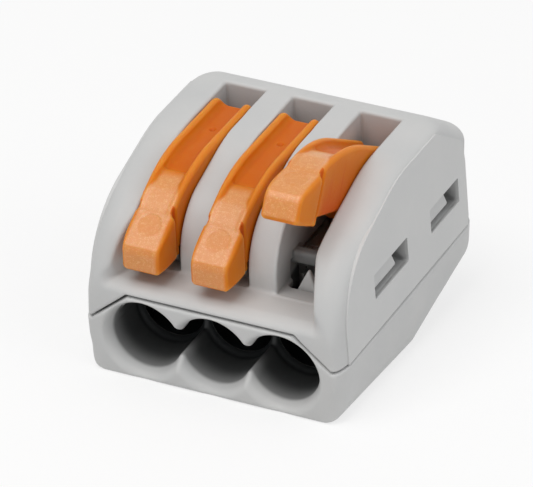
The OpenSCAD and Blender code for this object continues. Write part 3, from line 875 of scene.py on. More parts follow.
def outer_form(x, y, z, side_in):
    """Field of the whole body: the side outline and the two sides, met by a rounded edge.

    Its radii, across the width and along the side, follow the edge: broad and low along the curved front
    and the top, narrow and long at the upright corners, and alike under the bottom. Each ROUND holds both.
    """
    side = x + abs(z - SEAM_Z) * SIDE_DRAFT - (BODY_HALF - side_in)
    front, behind = 1 - soft_step(y, 2.0, 6.5), soft_step(y, CREST_Y - 1.4, CREST_Y + 0.6)
    upright = np.maximum(front * (1 - soft_step(z, 6.5, 9.5)),
                         soft_step(y, BODY_D - 1.6, BODY_D - 0.5) * (1 - soft_step(z, 9.0, 11.0)))
    under = 1 - soft_step(z, 1.6, 3.6)
    across = TOP_ROUND[0] + (UPRIGHT_ROUND[0] - TOP_ROUND[0]) * upright
    along = TOP_ROUND[1] + FRONT_MORE * front + BEHIND_MORE * behind
    along = along + (UPRIGHT_ROUND[1] - along) * upright
    across = across * (1 - under) + UNDER_ROUND[0] * under
    along = along * (1 - under) + UNDER_ROUND[1] * under
    return rounded_and(side, side_view(y, z), across, along)


# %% [markdown]
# ## Housing
#
# The upper shell has a ledge above the wire entries, three slots for the levers with partitions between
# them, side walls with four latch windows, and the hollow that holds the clamps. It is the outer form with
# all of these taken away. Cuts that show get soft edges of about the real radius; what stays hidden is cut
# plainly. The right half is worked out and mirrored, because the connector is symmetrical. Deep in the
# slots and below the ledge hardly any light comes back out, so an attribute marks how far inside a point
# lies, and the material darkens it there.

# %% Sizes of the housing
LEDGE_Z, PARTITION_Y, PARTITION_R = 7.7, 2.9, 4.2
SLOT_W, ARM_W, CHAMBER_W = 2.84, 2.54, 3.6
ROW_HALF = PITCH + SLOT_W / 2
CHEEK_FLARE, PARTITION_DROP, PARTITION_RUNOUT = 1.05, 0.05, 0.3
THROAT_Y, CHAMBER_Y, CHAMBER_REAR, CHAMBER_TOP = 4.1, 5.0, 14.875, 9.0
STOP_Y, STOP_D, STOP_Z, STOP_H = 5.4, 0.8, 8.55, 0.95
PLATE_T, PLATE_TOP, PLATE_HALF_TOP, PLATE_HALF_LOW = 1.8, 6.85, 5.8, 8.35
BLOCK_END, ARM_IN, ARM_OUT, FIT = 4.6, 7.0, 7.65, 0.1
BUSBAR_Y, BUSBAR_D, BUSBAR_Z, BUSBAR_T = 8.8, 3.3, 4.95, 0.8
REAR_WALL, AXLE_R, AXLE_PLAY, SOCKET_DEPTH = 1.2, 0.9, 0.05, 0.6
WINDOWS = ((5.5, 10.43), (13.89, 18.2))
WINDOW_LOW, WINDOW_HIGH = 7.2, 8.95
SHELL_STEP = 0.1
SHELL_REACH, SHELL_FLAT = 3, 0.05


def plate_front(grow):
    """Front view of the base's plate: straight sides up to the seam, then slanting in to a flat top."""
    low, high = PLATE_HALF_LOW + grow, PLATE_HALF_TOP + grow / 2
    return [(-low, -FAR), (low, -FAR), (low, SEAM_Z), (high, PLATE_TOP + grow),
            (-high, PLATE_TOP + grow), (-low, SEAM_Z)]


def lever_bay(x, y, z):
    """Space for the levers: the recess above the ledge, in front of the partitions, and the three slots.

    The partitions' backs lie a hair below the side walls' and run out into the crest behind the slots.
    """
    top = BODY_H - PARTITION_DROP
    partition = rounded_outline((
        (PARTITION_Y, -FAR, 0), (FAR, -FAR, 0), (FAR, top, 0), (SLOPE_Y, top, SLOPE_R),
        (PARTITION_Y, slope_at(PARTITION_Y, PARTITION_DROP), PARTITION_R)), y, z)
    partition = partition - PARTITION_RUNOUT * soft_step(y, SLOT_REAR - 3.5, SLOT_REAR - 0.5)
    wall_x = ROW_HALF + CHEEK_FLARE * np.clip(1 - y / PARTITION_Y, 0, 1.5)
    recess = rounded_and(x - wall_x, -rounded_or(z - LEDGE_Z, partition, 0.3), 0.12)
    floor = np.interp(y, (PARTITION_Y - 0.2, PARTITION_Y), (LEDGE_Z + 0.6, LEDGE_Z))
    lane = np.minimum(x, abs(x - PITCH)) - SLOT_W / 2
    slot = all_of(lane, y - SLOT_REAR, floor - z)
    return rounded_or(recess, slot, 0.14)


def housing_field(x, y, z):
    """The outer form above the seam, without the bay, throats, chambers, windows and hollows.

    Behind the gap that shows, the seam is closed by a step, so that no light comes through it.
    """
    form = outer_form(x, y, z, PANEL_RAISE)
    seam = SEAM_Z + SEAM_GAP / 2 - (SEAM_GAP - 0.02) * soft_step(-form, 0.5, 0.8)
    body = rounded_and(form, seam - z, 0.1)
    plate = all_of(outline_field(plate_front(SEAM_GAP), x, z), y - PLATE_T - SEAM_GAP)
    body = cut(body, plate, 0.12)
    lip = (1 - soft_step(z, LEDGE_Z + 0.2, LEDGE_Z + 1.2)) * (1 - soft_step(y, 0.6, 1.6))
    body = cut(body, lever_bay(x, y, z), 0.2 + 0.4 * lip)
    pole = np.minimum(x, abs(x - PITCH))
    throat = rounded_and(pole - ARM_W / 2, between(y, THROAT_Y, CHAMBER_Y + 2.5), 0.4)
    body = cut(body, all_of(throat, between(z, PLATE_TOP - 1, LEDGE_Z + 1)), 0.15)
    body = carved(body, all_of(between(y, CHAMBER_Y, CHAMBER_REAR), pole - CHAMBER_W / 2, z - CHAMBER_TOP))
    socket = all_of(np.hypot(y - AXLE_Y, z - AXLE_Z) - AXLE_R - AXLE_PLAY, pole - SLOT_W / 2 - SOCKET_DEPTH)
    body = carved(body, socket)
    for x_end, y_span, z_end in (
        (ARM_IN + FIT, (PLATE_T - FIT, BLOCK_END + FIT), PLATE_TOP + FIT),
        (PITCH + CHAMBER_W / 2, (BUSBAR_Y - 0.2, BUSBAR_Y + BUSBAR_D + 0.2), BUSBAR_Z + BUSBAR_T + 0.2),
        (PITCH + CHAMBER_W / 2, (CREST_Y, BODY_D - REAR_WALL), AXLE_Z - AXLE_R),
    ):
        body = carved(body, all_of(x - x_end, between(y, *y_span), z - z_end))
    for window in WINDOWS:
        pocket = all_of(between(x, ARM_IN - FIT, ARM_OUT + FIT), z - WINDOW_HIGH)
        opening = all_of(ARM_IN - x, between(z, WINDOW_LOW, WINDOW_HIGH))
        body = carved(body, all_of(between(y, *window), any_of(pocket, opening)))
    bar = rounded_and(between(y, STOP_Y, STOP_Y + STOP_D), between(z, STOP_Z, STOP_Z + STOP_H), 0.25)
    return any_of(body, all_of(bar, pole - CHAMBER_W / 2 - 0.2))


def housing_painted_shade(x, y, z):
    """Painted shade, by how far inside a point lies: slot walls by their depth, the space below the ledge, bars,
    latch gaps.
    """
    lane = np.minimum(abs(x), abs(abs(x) - PITCH)) - SLOT_W / 2
    walls = (1 - soft_step(lane, 0.02, 0.2)) * soft_step(-side_view(y, z), 1.2, 6.0) * soft_step(y, 2.4, 3.4)
    below = soft_step(LEDGE_Z - z, 0.1, 0.6) * (abs(x) < ROW_HALF + 0.5)
    below = below * (between(y, 3.7, CHAMBER_REAR + 0.2) < 0)
    bars = 0.6 * (lane < 0.3) * (between(z, LEDGE_Z, STOP_Z + STOP_H + 0.1) < 0)
    bars = bars * (between(y, STOP_Y - 0.1, CHAMBER_REAR) < 0)
    sunk = BODY_HALF - PANEL_RAISE - (z - SEAM_Z) * SIDE_DRAFT - abs(x)
    gaps = 0.55 * soft_step(sunk, 0.1, 0.5) * (abs(x) > ARM_IN - 0.2) * (z < WINDOW_HIGH + 0.1)
    gaps = gaps * (between(y, WINDOWS[0][0] - 0.3, WINDOWS[1][1] + 0.3) < 0)
    return np.max((0.7 * walls, below, bars, gaps), axis=0)


# %% Housing
shell_grid = half_grid(BODY_HALF + 0.3, (-0.35, BODY_D + 0.35), (SEAM_Z - 0.3, BODY_H + 0.35), SHELL_STEP)
housing_mesh, normals = contoured("housing_shell", housing_field(*shell_grid), shell_grid,
                                  SHELL_STEP, SHELL_REACH, SHELL_FLAT)
# The recess attribute is painted shade: the material darkens the slots, the space under the ledge, the bars and
# the latch gaps by it.
add_attribute(housing_mesh, "recess", housing_painted_shade(*points_of(housing_mesh).T))
into_row(housing_mesh)
add_piece(housing_mesh, GREY, "shell", ["housing"], normals=turned(normals, lean))
print("housing:", len(housing_mesh.vertices), "vertices,", len(housing_mesh.polygons), "faces")

# %% [markdown]
# ## Side panels
#
# Each side of the housing is a flat face that stands a hair proud of the rounded edges around it, with two
# latch windows. Its rim is so thin and crisp that a field on a grid would blur it. A filled flat curve
# with holes gives clean outlines at once; it is turned into a mesh and laid on the leaning side.

# %% Side panels


def rounded_box(u_span, v_span, r):
    """Closed outline of a rectangle with round corners: four quarter arcs."""
    (u0, u1), (v0, v1) = u_span, v_span
    corners = ((u1 - r, v1 - r, 0), (u0 + r, v1 - r, 90), (u0 + r, v0 + r, 180), (u1 - r, v0 + r, 270))
    return np.concatenate([arc_points((u, v), r, a, a + 90, 4) for u, v, a in corners])


def rounded_points(corners):
    """Points of the same kind of outline that rounded_outline takes: an arc at each corner with a radius."""
    spots, radii = np.array(corners, float)[:, :2], np.array(corners, float)[:, 2]
    ahead = np.roll(spots, -1, axis=0) - spots
    turn = np.degrees(np.arctan2(ahead[:, 1], ahead[:, 0]))
    arcs = []
    for i, (spot, r) in enumerate(zip(spots, radii)):
        a0, a1 = turn[i - 1] - 90, turn[i - 1] - 90 + (turn[i] - turn[i - 1]) % 360
        n0, n1 = (np.array((math.cos(math.radians(a)), math.sin(math.radians(a)))) for a in (a0, a1))
        centre = spot - r * (n0 + n1) / (1 + n0 @ n1)
        arcs.append(arc_points(centre, r, a0, a1, 40 if r > 3 else 12 if r else 0))
    return np.concatenate(arcs)


def flat_plate(name, outlines, thickness, bevel):
    """Mesh of a plate with holes: a filled curve, given a thickness and a small bevel."""
    curve = bpy.data.curves.new(name, "CURVE")
    curve.dimensions = "2D"
    curve.fill_mode = "BOTH"
    curve.extrude = thickness / 2 - bevel
    curve.bevel_depth = bevel
    curve.bevel_resolution = 1
    curve.offset = -bevel
    for outline in outlines:
        spline = curve.splines.new("POLY")
        spline.points.add(len(outline) - 1)
        flat = np.column_stack((outline, np.zeros(len(outline)), np.ones(len(outline))))
        spline.points.foreach_set("co", flat.ravel())
        spline.use_cyclic_u = True
    holder = bpy.data.objects.new(name, curve)
    scene.collection.objects.link(holder)
    mesh = bpy.data.meshes.new_from_object(holder.evaluated_get(bpy.context.evaluated_depsgraph_get()))
    bpy.data.objects.remove(holder)
    bpy.data.curves.remove(curve)
    mesh.name = name
    return mesh


PANEL_SINK = 0.2
PANEL_FRONT_IN, PANEL_TOP_IN, PANEL_REAR_IN, PANEL_END_IN = 1.3, 0.4, 1.0, 1.2


def panel_outline():
    """The side view drawn in from its edges, down to the seam."""
    low, end = SEAM_Z + SEAM_GAP / 2 + 0.02, BODY_D - PANEL_END_IN
    fall, drop = math.tan(REAR_SLOPE), PANEL_REAR_IN / math.cos(REAR_SLOPE)
    level = BODY_H - PANEL_TOP_IN
    return rounded_points((
        (PANEL_FRONT_IN, low, 0), (end, low, 0), (end, BODY_H - drop - (end - CREST_Y) * fall, REAR_R - 0.4),
        (CREST_Y + (PANEL_TOP_IN - drop) / fall, level, 0.7), (SLOPE_Y, level, SLOPE_R),
        (PANEL_FRONT_IN, slope_at(PANEL_FRONT_IN, PANEL_TOP_IN), FRONT_R - 0.6),
    ))


for side, hand in ((1, "right"), (-1, "left")):
    holes = [rounded_box(window, (WINDOW_LOW, WINDOW_HIGH), 0.12) for window in WINDOWS]
    thickness = PANEL_RAISE + PANEL_SINK
    panel = flat_plate(f"side_panel_{hand}", [panel_outline(), *holes], thickness, 0.03)
    flat = points_of(panel)
    out = BODY_HALF - (flat[:, 1] - SEAM_Z) * SIDE_DRAFT - thickness / 2 + flat[:, 2]
    set_points(panel, to_row(np.column_stack((side * out, flat[:, 0], flat[:, 1]))))
    panel.materials.clear()
    if side < 0:
        panel.flip_normals()
    add_piece(panel, GREY, "shell", ["housing"], smooth=False)
    print(panel.name, len(panel.polygons), "faces")

# %% [markdown]
# ## Base
#
# The lower shell closes the connector from below. Its front plate rises between the slanting seams and
# holds the three wire entries, which run into each other like a row of coins; their rims are flared, more
# below than above, so that a wire finds its way in. Behind the plate stand pointed fins, one under each
# lever, and then comes an open tray for the clamps. The shell comes from the same outer form as the
# housing, kept below the seam and inside the plate's outline.

# %% Sizes of the base
ENTRY_Z, ENTRY_LEN, GUIDE_LEN, GUIDE_R = 3.95, 4.0, 0.6, 2.0
MOUTH_R, MOUTH_DROP, MOUTH_DEPTH, RIM_R = 2.62, 0.16, 0.8, 0.4
FIN_Y, FIN_D, FIN_TOP, FIN_STEEP = 4.55, 0.35, 8.9, 2.1
FLOOR_T, SKIRT_T, RIB_HALF = 1.1, 1.5, 0.5
CREASE = ((8.2, 4.53), (7.36, 2.15), (6.48, 1.49))
CREASE_FALL = 0.09


def wire_entries(x, y, z):
    """Three overlapping bores, flared at the mouth, more below than above, narrowing to a guide hole."""
    depths = (0, MOUTH_DEPTH, ENTRY_LEN, ENTRY_LEN + GUIDE_LEN)
    widths = np.interp(y, depths, (MOUTH_R, ENTRY_R, ENTRY_R, GUIDE_R))
    height = z - ENTRY_Z + MOUTH_DROP * np.clip(1 - y / MOUTH_DEPTH, 0, 1)
    first = np.hypot(x, height) - widths
    second = np.hypot(x - PITCH, height) - widths
    return all_of(rounded_or(first, second, 0.4), y - BLOCK_END - GUIDE_LEN)


def crease_facets(x, y, z):
    """Two shallow facets at each lower corner of the front: past a crease line the face leans back."""
    facets = []
    for (x0, z0), (x1, z1) in zip(CREASE[:-1], CREASE[1:]):
        past = ((x - x0) * (z0 - z1) + (z - z0) * (x1 - x0)) / math.hypot(x1 - x0, z1 - z0)
        facets.append(CREASE_FALL * past - y)
    return all_of(*facets)


def base_field(x, y, z):
    """The outer form below the seam or inside the plate, hollowed behind; block, ribs, fins and entries."""
    form = all_of(outer_form(x, y, z, 0), crease_facets(x, y, z))
    lower = rounded_and(form, z - SEAM_Z + SEAM_GAP / 2, 0.1)
    plate = all_of(outline_field(plate_front(0), x, z), y - PLATE_T)
    tray = all_of(between(y, BLOCK_END, BODY_D - REAR_WALL), bottom_at(y) + FLOOR_T - z,
                  x - BODY_HALF + SKIRT_T)
    body = carved(any_of(lower, rounded_and(form, plate, 0.12)), tray)
    block = all_of(between(y, PLATE_T - 0.1, BLOCK_END), between(z, SEAM_Z - 1, PLATE_TOP), x - ARM_IN)
    rib = all_of(abs(x - PITCH / 2) - RIB_HALF, between(y, BUSBAR_Y, BUSBAR_Y + BUSBAR_D))
    body = any_of(body, block, all_of(rib, between(z, FLOOR_T - 0.3, BUSBAR_Z)))
    body = cut(body, wire_entries(x, y, z), RIM_R)
    pole = np.minimum(x, abs(x - PITCH))
    point = (z - FIN_TOP + FIN_STEEP * pole) / math.hypot(1, FIN_STEEP)
    fin = rounded_and(point, between(y, FIN_Y - (FIN_TOP - z) * 0.2, FIN_Y + FIN_D), 0.12)
    return any_of(body, all_of(fin, PLATE_TOP - 0.6 - z))


def base_painted_shade(x, y, z):
    """Painted shade, by how far inside a point lies: entry walls by their depth, less on the ridges between, and
    the tray.
    """
    walls = 1 - soft_step(wire_entries(abs(x), y, z), 0.04, 0.2)
    depth = 0.6 * soft_step(y, MOUTH_DEPTH - 0.15, MOUTH_DEPTH + 0.25) + 0.4 * soft_step(y, MOUTH_DEPTH, 2.6)
    ridge = 1 - 0.35 * (1 - soft_step(abs(abs(x) - PITCH / 2), 0.0, 0.5)) * (1 - soft_step(y, 1.5, 3.5))
    guide = 0.92 + 0.08 * soft_step(y, ENTRY_LEN - 0.4, ENTRY_LEN)
    within = (abs(x) < BODY_HALF - SKIRT_T + 0.1) & (y < BODY_D - REAR_WALL + 0.1)
    within = within & (z > bottom_at(y) + FLOOR_T - 0.1)
    tray = soft_step(y, BLOCK_END - 0.3, BLOCK_END) * within * (z < PLATE_TOP - 0.3)
    return np.maximum(walls * depth * ridge * guide, tray)


# %% Base
base_grid = half_grid(BODY_HALF + 0.3, (-0.35, BODY_D + 0.35), (-0.35, FIN_TOP + 0.35), SHELL_STEP)
base_mesh, normals = contoured("base_shell", base_field(*base_grid), base_grid,
                               SHELL_STEP, SHELL_REACH, SHELL_FLAT)
# The recess attribute is painted shade: it darkens the wire entries and the tray to near black.
add_attribute(base_mesh, "recess", base_painted_shade(*points_of(base_mesh).T))
into_row(base_mesh)
add_piece(base_mesh, GREY, "shell", ["base"], normals=turned(normals, lean))
print("base:", len(base_mesh.vertices), "vertices,", len(base_mesh.polygons), "faces")

# %% [markdown]
# ## Latch arms
#
# Four springy arms stand up from the base, and their bevelled noses snap into the windows of the housing.
# An arm is a plain profile carried along a straight path, so it is a loft of two copies of its outline; a
# small Bevel modifier breaks its edges, as the mould does.

# %% Latch arms
ARM_ROOT, NOSE_OUT, NOSE_BACK, NOSE_GAP, NOSE_SHARE = 1.5, 0.9, 0.5, 0.22, 0.78


def prism(name, profile, start, end):
    """Solid of a profile, points in a plane, carried from start to end: rings joined by quads, two caps."""
    count = len(profile)
    ring = np.arange(count)
    mesh = bpy.data.meshes.new(name)
    points = np.concatenate((np.insert(profile, 1, start, axis=1), np.insert(profile, 1, end, axis=1)))
    sides = np.column_stack((ring, np.roll(ring, -1), np.roll(ring, -1) + count, ring + count))
    faces = [*sides.tolist(), ring[::-1].tolist(), (ring + count).tolist()]
    mesh.from_pydata(points.tolist(), [], faces)
    return faced_outwards(mesh)


def bevel_edges(piece, width, segments):
    """Bevel modifier in front of the weighted normals."""
    bevel = piece.modifiers.new("soft_edges", "BEVEL")
    bevel.width = width * MM
    bevel.segments = segments
    bevel.limit_method = "ANGLE"
    piece.modifiers.move(len(piece.modifiers) - 1, 0)


def latch_profile():
    """Arm from below the seam up to the window, then the nose: a low ridge and a bevel that faces up."""
    nose_low, nose_high = WINDOW_LOW + NOSE_GAP, WINDOW_HIGH - NOSE_GAP
    return np.array([
        (ARM_IN, SEAM_Z - ARM_ROOT), (ARM_OUT, SEAM_Z - ARM_ROOT), (ARM_OUT, nose_low),
        (ARM_OUT + NOSE_OUT, nose_low), (ARM_OUT + NOSE_OUT, nose_low + NOSE_GAP),
        (ARM_OUT + NOSE_OUT - NOSE_BACK, nose_high), (ARM_IN, nose_high),
    ])


for place, window in zip(("front", "rear"), WINDOWS):
    for side, hand in ((1, "right"), (-1, "left")):
        profile = latch_profile() * (side, 1)
        nose_end = window[0] + (window[1] - window[0]) * NOSE_SHARE
        latch = prism(f"latch_{place}_{hand}", profile, window[0] + FIT, nose_end)
        into_row(latch)
        piece = add_piece(latch, GREY, "shell", ["base"])
        bevel_edges(piece, 0.1, 3)
print("four latch arms")

# %% [markdown]
# ## Levers
#
# A lever has a finger tab in front, an arm with two rails and a channel between them, a hub with stub axles
# and, behind it, the cam that presses the clamp open. A shallow disc is sunk into the tab's pad, and a notch
# on each side parts the tab from the arm. The lever is drawn closed, as one field, and then turned about its
# axle by the angle at which it rests, which the record's joint range gives. Two attributes guide the material: one
# marks the frosted pad and the strip up to the channel, where a sheen and glints are painted as well; the other
# paints shade, a deeper orange, in the channel, on the flanks and round the hub.

# %% Sizes of a lever
TAB_Y, TAB_BACK, TAB_Z, PAD_Z = 0.25, 2.6, 8.75, 12.0
TAB_HALF, TAB_FACE_HALF, TAB_FACE_TOP, TAB_BEVEL = 1.45, 1.26, 10.5, 0.4
NECK_HALF, RAIL_HALF = 1.31, 1.38
LEVER_TOP, LEVEL_Y, HEEL_Y, HEEL_R = 14.08, 8.5, 14.02, 0.7
HUB_R, LOBE_REACH, LOBE_R, LOBE_TILT, STUB_LEN = 2.0, 2.6, 0.8, math.radians(20), 0.5
CHANNEL_Y, CHANNEL_FLOOR, CHANNEL_HALF = 5.65, 13.45, 0.84
DISC_Y, DISC_R, DISC_STRETCH, DISC_SINK = 1.72, 0.82, 1.15, 0.035
NOTCH_OUT, NOTCH_BACK, NOTCH_R = 0.1, 0.2, 0.29
DIMPLE_Y, DIMPLE_UP, DIMPLE_R = 10.8, 0.12, 0.26
LEVER_STEP = 0.05
LEVER_REACH, LEVER_FLAT = 7, 0.08


def arm_back(y, z):
    """Field of the arm's arched back: an arc from the pad's rear up to the level stretch over the axle."""
    run, rise = LEVEL_Y - TAB_BACK - 0.3, LEVER_TOP - PAD_Z - 0.4
    back_r = (run * run + rise * rise) / (2 * rise)
    return np.where(y < LEVEL_Y, np.hypot(y - LEVEL_Y, z - LEVER_TOP + back_r) - back_r, z - LEVER_TOP)


def pad_height(y):
    """Height of the finger pad, a plane that rises from the front bevel, carried on up to the arm's back."""
    return PAD_Z + (y - TAB_BACK) * (PAD_Z - TAB_FACE_TOP - TAB_BEVEL) / (TAB_BACK - TAB_Y - TAB_BEVEL)


def channel_depth(y):
    """Depth of the channel below the rails: a shallow run-in, a small lip, then deeper to the rear."""
    places = (CHANNEL_Y - 1.7, CHANNEL_Y - 0.1, CHANNEL_Y + 0.1, 7.5, 9.5)
    return np.interp(y, places, (0.0, 0.34, 0.48, 0.6, 0.62))


def arm_underside():
    """Lower edge of the arm from the tab's back to the hub and the heel; it is open above."""
    return [(TAB_BACK - 0.5, TAB_Z), (TAB_BACK - 0.5, FAR), (FAR, FAR), (HEEL_Y, AXLE_Z + 1.2),
            (AXLE_Y, AXLE_Z), (AXLE_Y - HUB_R * math.cos(LOBE_TILT), AXLE_Z - HUB_R * math.sin(LOBE_TILT)),
            (TAB_BACK + 0.7, TAB_Z + 0.55), (TAB_BACK + 0.7, TAB_Z)]


def tab_field(x, y, z):
    """Finger tab: block with cut front corners, sloping pad, a broad bevel before it and one on each side."""
    width = TAB_HALF - 0.02 * np.maximum(y - 1.0, 0)
    slope = (TAB_HALF - TAB_FACE_HALF) / 0.75
    corner = (x - TAB_FACE_HALF - slope * (y - TAB_Y)) / math.hypot(1, slope)
    tab = rounded_and(between(y, TAB_Y, TAB_BACK), x - width, 0.06)
    tab = rounded_and(tab, corner, 0.3)
    tab = rounded_and(tab, (z - pad_height(y)) * 0.87, 0.16)
    tab = rounded_and(tab, (z - TAB_FACE_TOP - (y - TAB_Y)) * 0.707, 0.35)
    tab = rounded_and(tab, 0.87 * (x - TAB_HALF + 0.18) + 0.5 * (z - pad_height(y)), 0.14)
    return rounded_and(tab, TAB_Z - z, 0.35)


def lever_field(x, y, z):
    """Arm with rounded rails, less the channel, joined to the tab, the hub, the cam and the axle stub."""
    back = arm_back(y, z)
    entry = (z - PAD_Z - (y - TAB_BACK + 0.1) * 1.33) * 0.6
    side = rounded_and(rounded_and(back, entry, 0.1), y - HEEL_Y, HEEL_R)
    side = all_of(side, outline_field(arm_underside(), y, z))
    lobe_y, lobe_z = AXLE_Y + LOBE_REACH * math.cos(LOBE_TILT), AXLE_Z + LOBE_REACH * math.sin(LOBE_TILT)
    hub, lobe = np.hypot(y - AXLE_Y, z - AXLE_Z) - HUB_R, np.hypot(y - lobe_y, z - lobe_z) - LOBE_R
    width = NECK_HALF + (RAIL_HALF - NECK_HALF) * soft_step(y, TAB_BACK + 0.4, 6.5)
    arm = rounded_and(any_of(side, hub, lobe), x - width, 0.3)
    fillet = 0.12 + 0.36 * soft_step(y, CHANNEL_Y - 1, CHANNEL_Y + 1.5)
    channel = rounded_and(x - CHANNEL_HALF, -back - channel_depth(y), fillet)
    arm = cut(arm, channel, 0.24)
    arm = cut(arm, np.hypot(x - NECK_HALF - NOTCH_OUT, y - TAB_BACK - NOTCH_BACK) - NOTCH_R, 0.06)
    body = rounded_or(arm, tab_field(x, y, z), 0.05)
    disc = np.hypot(x, (y - DISC_Y) * DISC_STRETCH) - DISC_R
    body = carved(body, all_of(disc, pad_height(y) - DISC_SINK - z))
    dimple = np.hypot(np.hypot(x, y - DIMPLE_Y), z - CHANNEL_FLOOR - DIMPLE_UP) - DIMPLE_R
    body = cut(body, dimple, 0.05)
    return any_of(body, all_of(np.hypot(y - AXLE_Y, z - AXLE_Z) - AXLE_R, x - SLOT_W / 2 - STUB_LEN))


# %% Where a lever is frosted and where shade is painted on it


def below_top(y, z):
    """Depth below the top of the closed lever: the pad and its bevel in front, the arched back behind."""
    return np.where(y < TAB_BACK, np.minimum(pad_height(y), TAB_FACE_TOP + y - TAB_Y) - z, -arm_back(y, z))


def notch_mask(x, y):
    """1 in the notches between the tab and the arm."""
    return soft_step(abs(x), 1.0, 1.1) * (between(y, TAB_BACK - 0.02, TAB_BACK + 0.4) < 0) * (x * x < 1.8)


def lever_pad(x, y, z):
    """Frosted share, which also carries the painted sheen and glints: the tab's face, its top and the strip up to
    the channel, less in the sunk disc.
    """
    strip_top = 1 - soft_step(y, CHANNEL_Y - 0.9, CHANNEL_Y)
    strip_top = strip_top * (1 - soft_step(below_top(y, z), 0.4, 0.55))
    face = (1 - soft_step(y, TAB_Y + 0.02, TAB_Y + 0.1)) * soft_step(z, TAB_Z + 0.15, TAB_Z + 0.3)
    edge = 1.25 - 0.4 * soft_step(y, 3.4, 4.6)
    top = np.maximum(strip_top, face) * (1 - soft_step(abs(x), edge - 0.25, edge))
    disc = 1 - soft_step(np.hypot(x, (y - DISC_Y) * DISC_STRETCH), DISC_R - 0.08, DISC_R)
    return top * (1 - notch_mask(x, y)) * (1 - 0.22 * disc)


def lever_painted_shade(x, y, z):
    """Painted shade, a deeper orange: the flanks behind the tab, the notches, the hub and the channel's floor."""
    below = below_top(y, z)
    flank = 0.75 * soft_step(abs(x), 1.1, 1.25) * soft_step(below, 0.2, 2.2)
    flank = flank * soft_step(y, TAB_BACK, TAB_BACK + 1.5)
    hub = 0.35 * soft_step(y, 6.5, 8.0) * soft_step(below, 1.0, 2.5)
    trough = 0.4 * soft_step(below, 0.15, 0.5) * (1 - soft_step(abs(x), 0.5, 0.85))
    trough = trough * soft_step(y, CHANNEL_Y - 0.2, CHANNEL_Y + 0.5)
    return np.max((flank, 0.6 * notch_mask(x, y), hub, trough), axis=0)


# %% Levers
lever_grid = half_grid(2.1, (TAB_Y - 0.2, HEEL_Y + 1.0), (TAB_Z - 0.2, LEVER_TOP + 0.2), LEVER_STEP)
lever_mesh, normals = contoured("lever", lever_field(*lever_grid), lever_grid,
                                LEVER_STEP, LEVER_REACH, LEVER_FLAT)
closed = points_of(lever_mesh)
# The pad attribute marks the frosting, and where a sheen and glints are painted.
add_attribute(lever_mesh, "pad", lever_pad(*closed.T))
# The recess attribute is painted shade, a deeper orange, on the flanks, in the notches, round the hub and in the
# channel.
add_attribute(lever_mesh, "recess", lever_painted_shade(*closed.T))
for x, hinge in zip(POLE_X, hinges):
    opened = math.radians(-hinge["range_deg"][0])
    mesh = lever_mesh.copy()
    mesh.name = hinge["child"] + "_arm"
    set_points(mesh, to_row(turned(closed, -opened, AXLE_Y, AXLE_Z) + (x, 0, 0)))
    add_piece(mesh, ORANGE, hinge["child"], [hinge["child"]],
              normals=turned(normals, lean - opened))
bpy.data.meshes.remove(lever_mesh)
print("three levers of", len(closed), "vertices each")

# %% [markdown]
# ## Clamp springs
#
# Each clamp is one strip of spring steel: a leg on the current bar, a loop at the rear, a top arm under the
# cam, a bend, and a leg with a window that the wire passes through. A strip is a thin profile carried
# along a path. When the lever opens, its cam presses the top arm down, the loop flattens towards the current bar
# and the windowed leg goes down with the arm. Here the loop and the windowed leg are two separate pieces, both
# riding on the shell and drawn at rest.

# %% Clamp springs
STRIP_T, STRIP_W, RAIL_W, BEND_R = 0.35, 3.2, 0.38, 0.9
STRIP_LOW, STRIP_HIGH = BUSBAR_Z + BUSBAR_T, AXLE_Z - HUB_R - 0.1
LOOP_R = (STRIP_HIGH - STRIP_LOW) / 2
LEG_Y, LOOP_Y = 6.4, 12.9
BAR_H, BAR_GAP = 0.75, 0.05
WINDOW_TOP = 7.2
CAM_TRAVEL = 1.2


def strip(path, x_span):
    """Flat strip: the path is offset by half the thickness both ways, across its own direction, at x0 and x1.

    Gives points, four for each place on the path, and the quads of the tube with its two ends.
    """
    along = np.gradient(path, axis=0)
    along /= np.linalg.norm(along, axis=1)[:, None]
    offset = np.column_stack((-along[:, 1], along[:, 0])) * STRIP_T / 2
    rings = [np.insert(path + sign * offset, 0, x, axis=1) for x, sign in
             ((x_span[0], -1), (x_span[1], -1), (x_span[1], 1), (x_span[0], 1))]
    points = np.stack(rings, axis=1).reshape(-1, 3)
    start = np.arange(len(path) - 1)[:, None] * 4
    quads = [np.concatenate((start + a, start + b, start + b + 4, start + a + 4), axis=1)
             for a, b in ((0, 1), (1, 2), (2, 3), (3, 0))]
    last = 4 * (len(path) - 1)
    ends = np.array([(3, 2, 1, 0), (last, last + 1, last + 2, last + 3)])
    return points, np.concatenate((*quads, ends))


def joined(name, strips):
    """One mesh of several strips."""
    shift = np.cumsum([0] + [len(points) for points, _ in strips[:-1]])
    points = np.concatenate([points for points, _ in strips])
    faces = np.concatenate([faces + s for (_, faces), s in zip(strips, shift)])
    return faced_outwards(mesh_of(name, points, faces))


def loop_path():
    """Leg on the current bar, half a turn at the rear, top arm to the bend."""
    half = STRIP_T / 2
    turn = arc_points((LOOP_Y, STRIP_LOW + LOOP_R), LOOP_R - half, -90, 90, 16)
    low, high = (LEG_Y + BEND_R, STRIP_LOW + half), (LEG_Y + BEND_R, STRIP_HIGH - half)
    return np.concatenate(([low], turn, [high]))


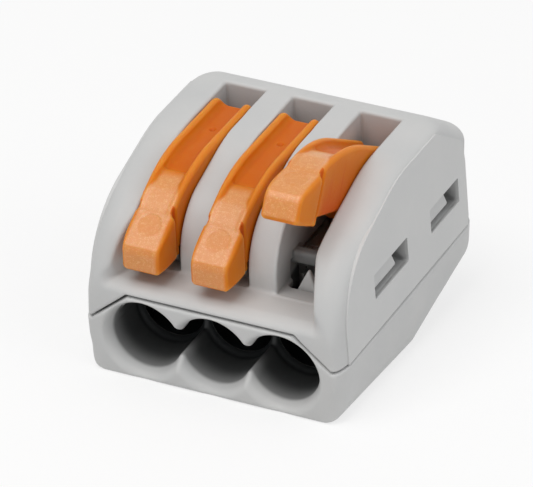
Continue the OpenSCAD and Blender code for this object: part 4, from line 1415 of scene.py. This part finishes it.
def leg_strips():
    """Bend at the front of the top arm, two rails down past the window, and the bar under it."""
    half, middle = STRIP_T / 2, LEG_Y + STRIP_T / 2
    bend = arc_points((LEG_Y + BEND_R, STRIP_HIGH - BEND_R), BEND_R - half, 90, 180, 8)
    window_low = BUSBAR_Z - BAR_GAP
    wide, inner = STRIP_W / 2, STRIP_W / 2 - RAIL_W
    rail = np.linspace((middle, WINDOW_TOP), (middle, window_low - BAR_H), 5)
    bar = np.linspace((middle, window_low), (middle, window_low - BAR_H), 3)
    bend = np.concatenate((bend, [(middle, WINDOW_TOP)]))
    return [strip(bend, (-wide, wide)), strip(rail, (-wide, -inner)), strip(rail, (inner, wide)),
            strip(bar, (-inner, inner))]


loop_keep = 1 - CAM_TRAVEL / (STRIP_HIGH - STRIP_LOW)
FAR_BELOW = 100.0
for number, (x, hinge) in enumerate(zip(POLE_X, hinges), 1):
    for name, strips, anchor_z, keep in (
        (f"clamp_loop_{number}", [strip(loop_path(), (-STRIP_W / 2, STRIP_W / 2))], STRIP_LOW, loop_keep),
        (f"clamp_leg_{number}", leg_strips(), STRIP_HIGH - FAR_BELOW, 1 - CAM_TRAVEL / FAR_BELOW),
    ):
        mesh = joined(name, strips)
        into_row(mesh, x)
        piece = add_piece(mesh, STEEL, "shell", [f"clamp_spring_{number}"])
        bevel_edges(piece, 0.05, 2)
        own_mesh(piece)
print("three clamps, pressed down by", CAM_TRAVEL, "mm when open")

# %% [markdown]
# ## Current bar
#
# One stamped bar joins the three clamps: a flat strip with a tongue for each pole, against which the clamp
# pulls the wire. Its outline is a row of steps, so the same profile-along-a-path function makes it, with
# the path running up through its thickness.

# %% Current bar
TONGUE_HALF, TONGUE_LEN = STRIP_W / 2 - RAIL_W - 0.2, 2.8


def bar_outline():
    """Rear edge of the bar, then its front edge with the three tongues."""
    end = PITCH + CHAMBER_W / 2 - 0.2
    points = [(end, BUSBAR_Y + BUSBAR_D), (-end, BUSBAR_Y + BUSBAR_D), (-end, BUSBAR_Y)]
    for x in POLE_X:
        tip = BUSBAR_Y - TONGUE_LEN
        points += [(x - TONGUE_HALF, BUSBAR_Y), (x - TONGUE_HALF, tip), (x + TONGUE_HALF, tip),
                   (x + TONGUE_HALF, BUSBAR_Y)]
    return np.array(points + [(end, BUSBAR_Y)])


bar_mesh = prism("current_bar", bar_outline(), BUSBAR_Z, BUSBAR_Z + BUSBAR_T)
bar_points = points_of(bar_mesh)
set_points(bar_mesh, to_row(bar_points[:, (0, 2, 1)]))
bar_mesh.flip_normals()
bevel_edges(add_piece(bar_mesh, TIN, "shell", ["busbar"]), 0.06, 2)
print("current bar with", len(POLE_X), "tongues")
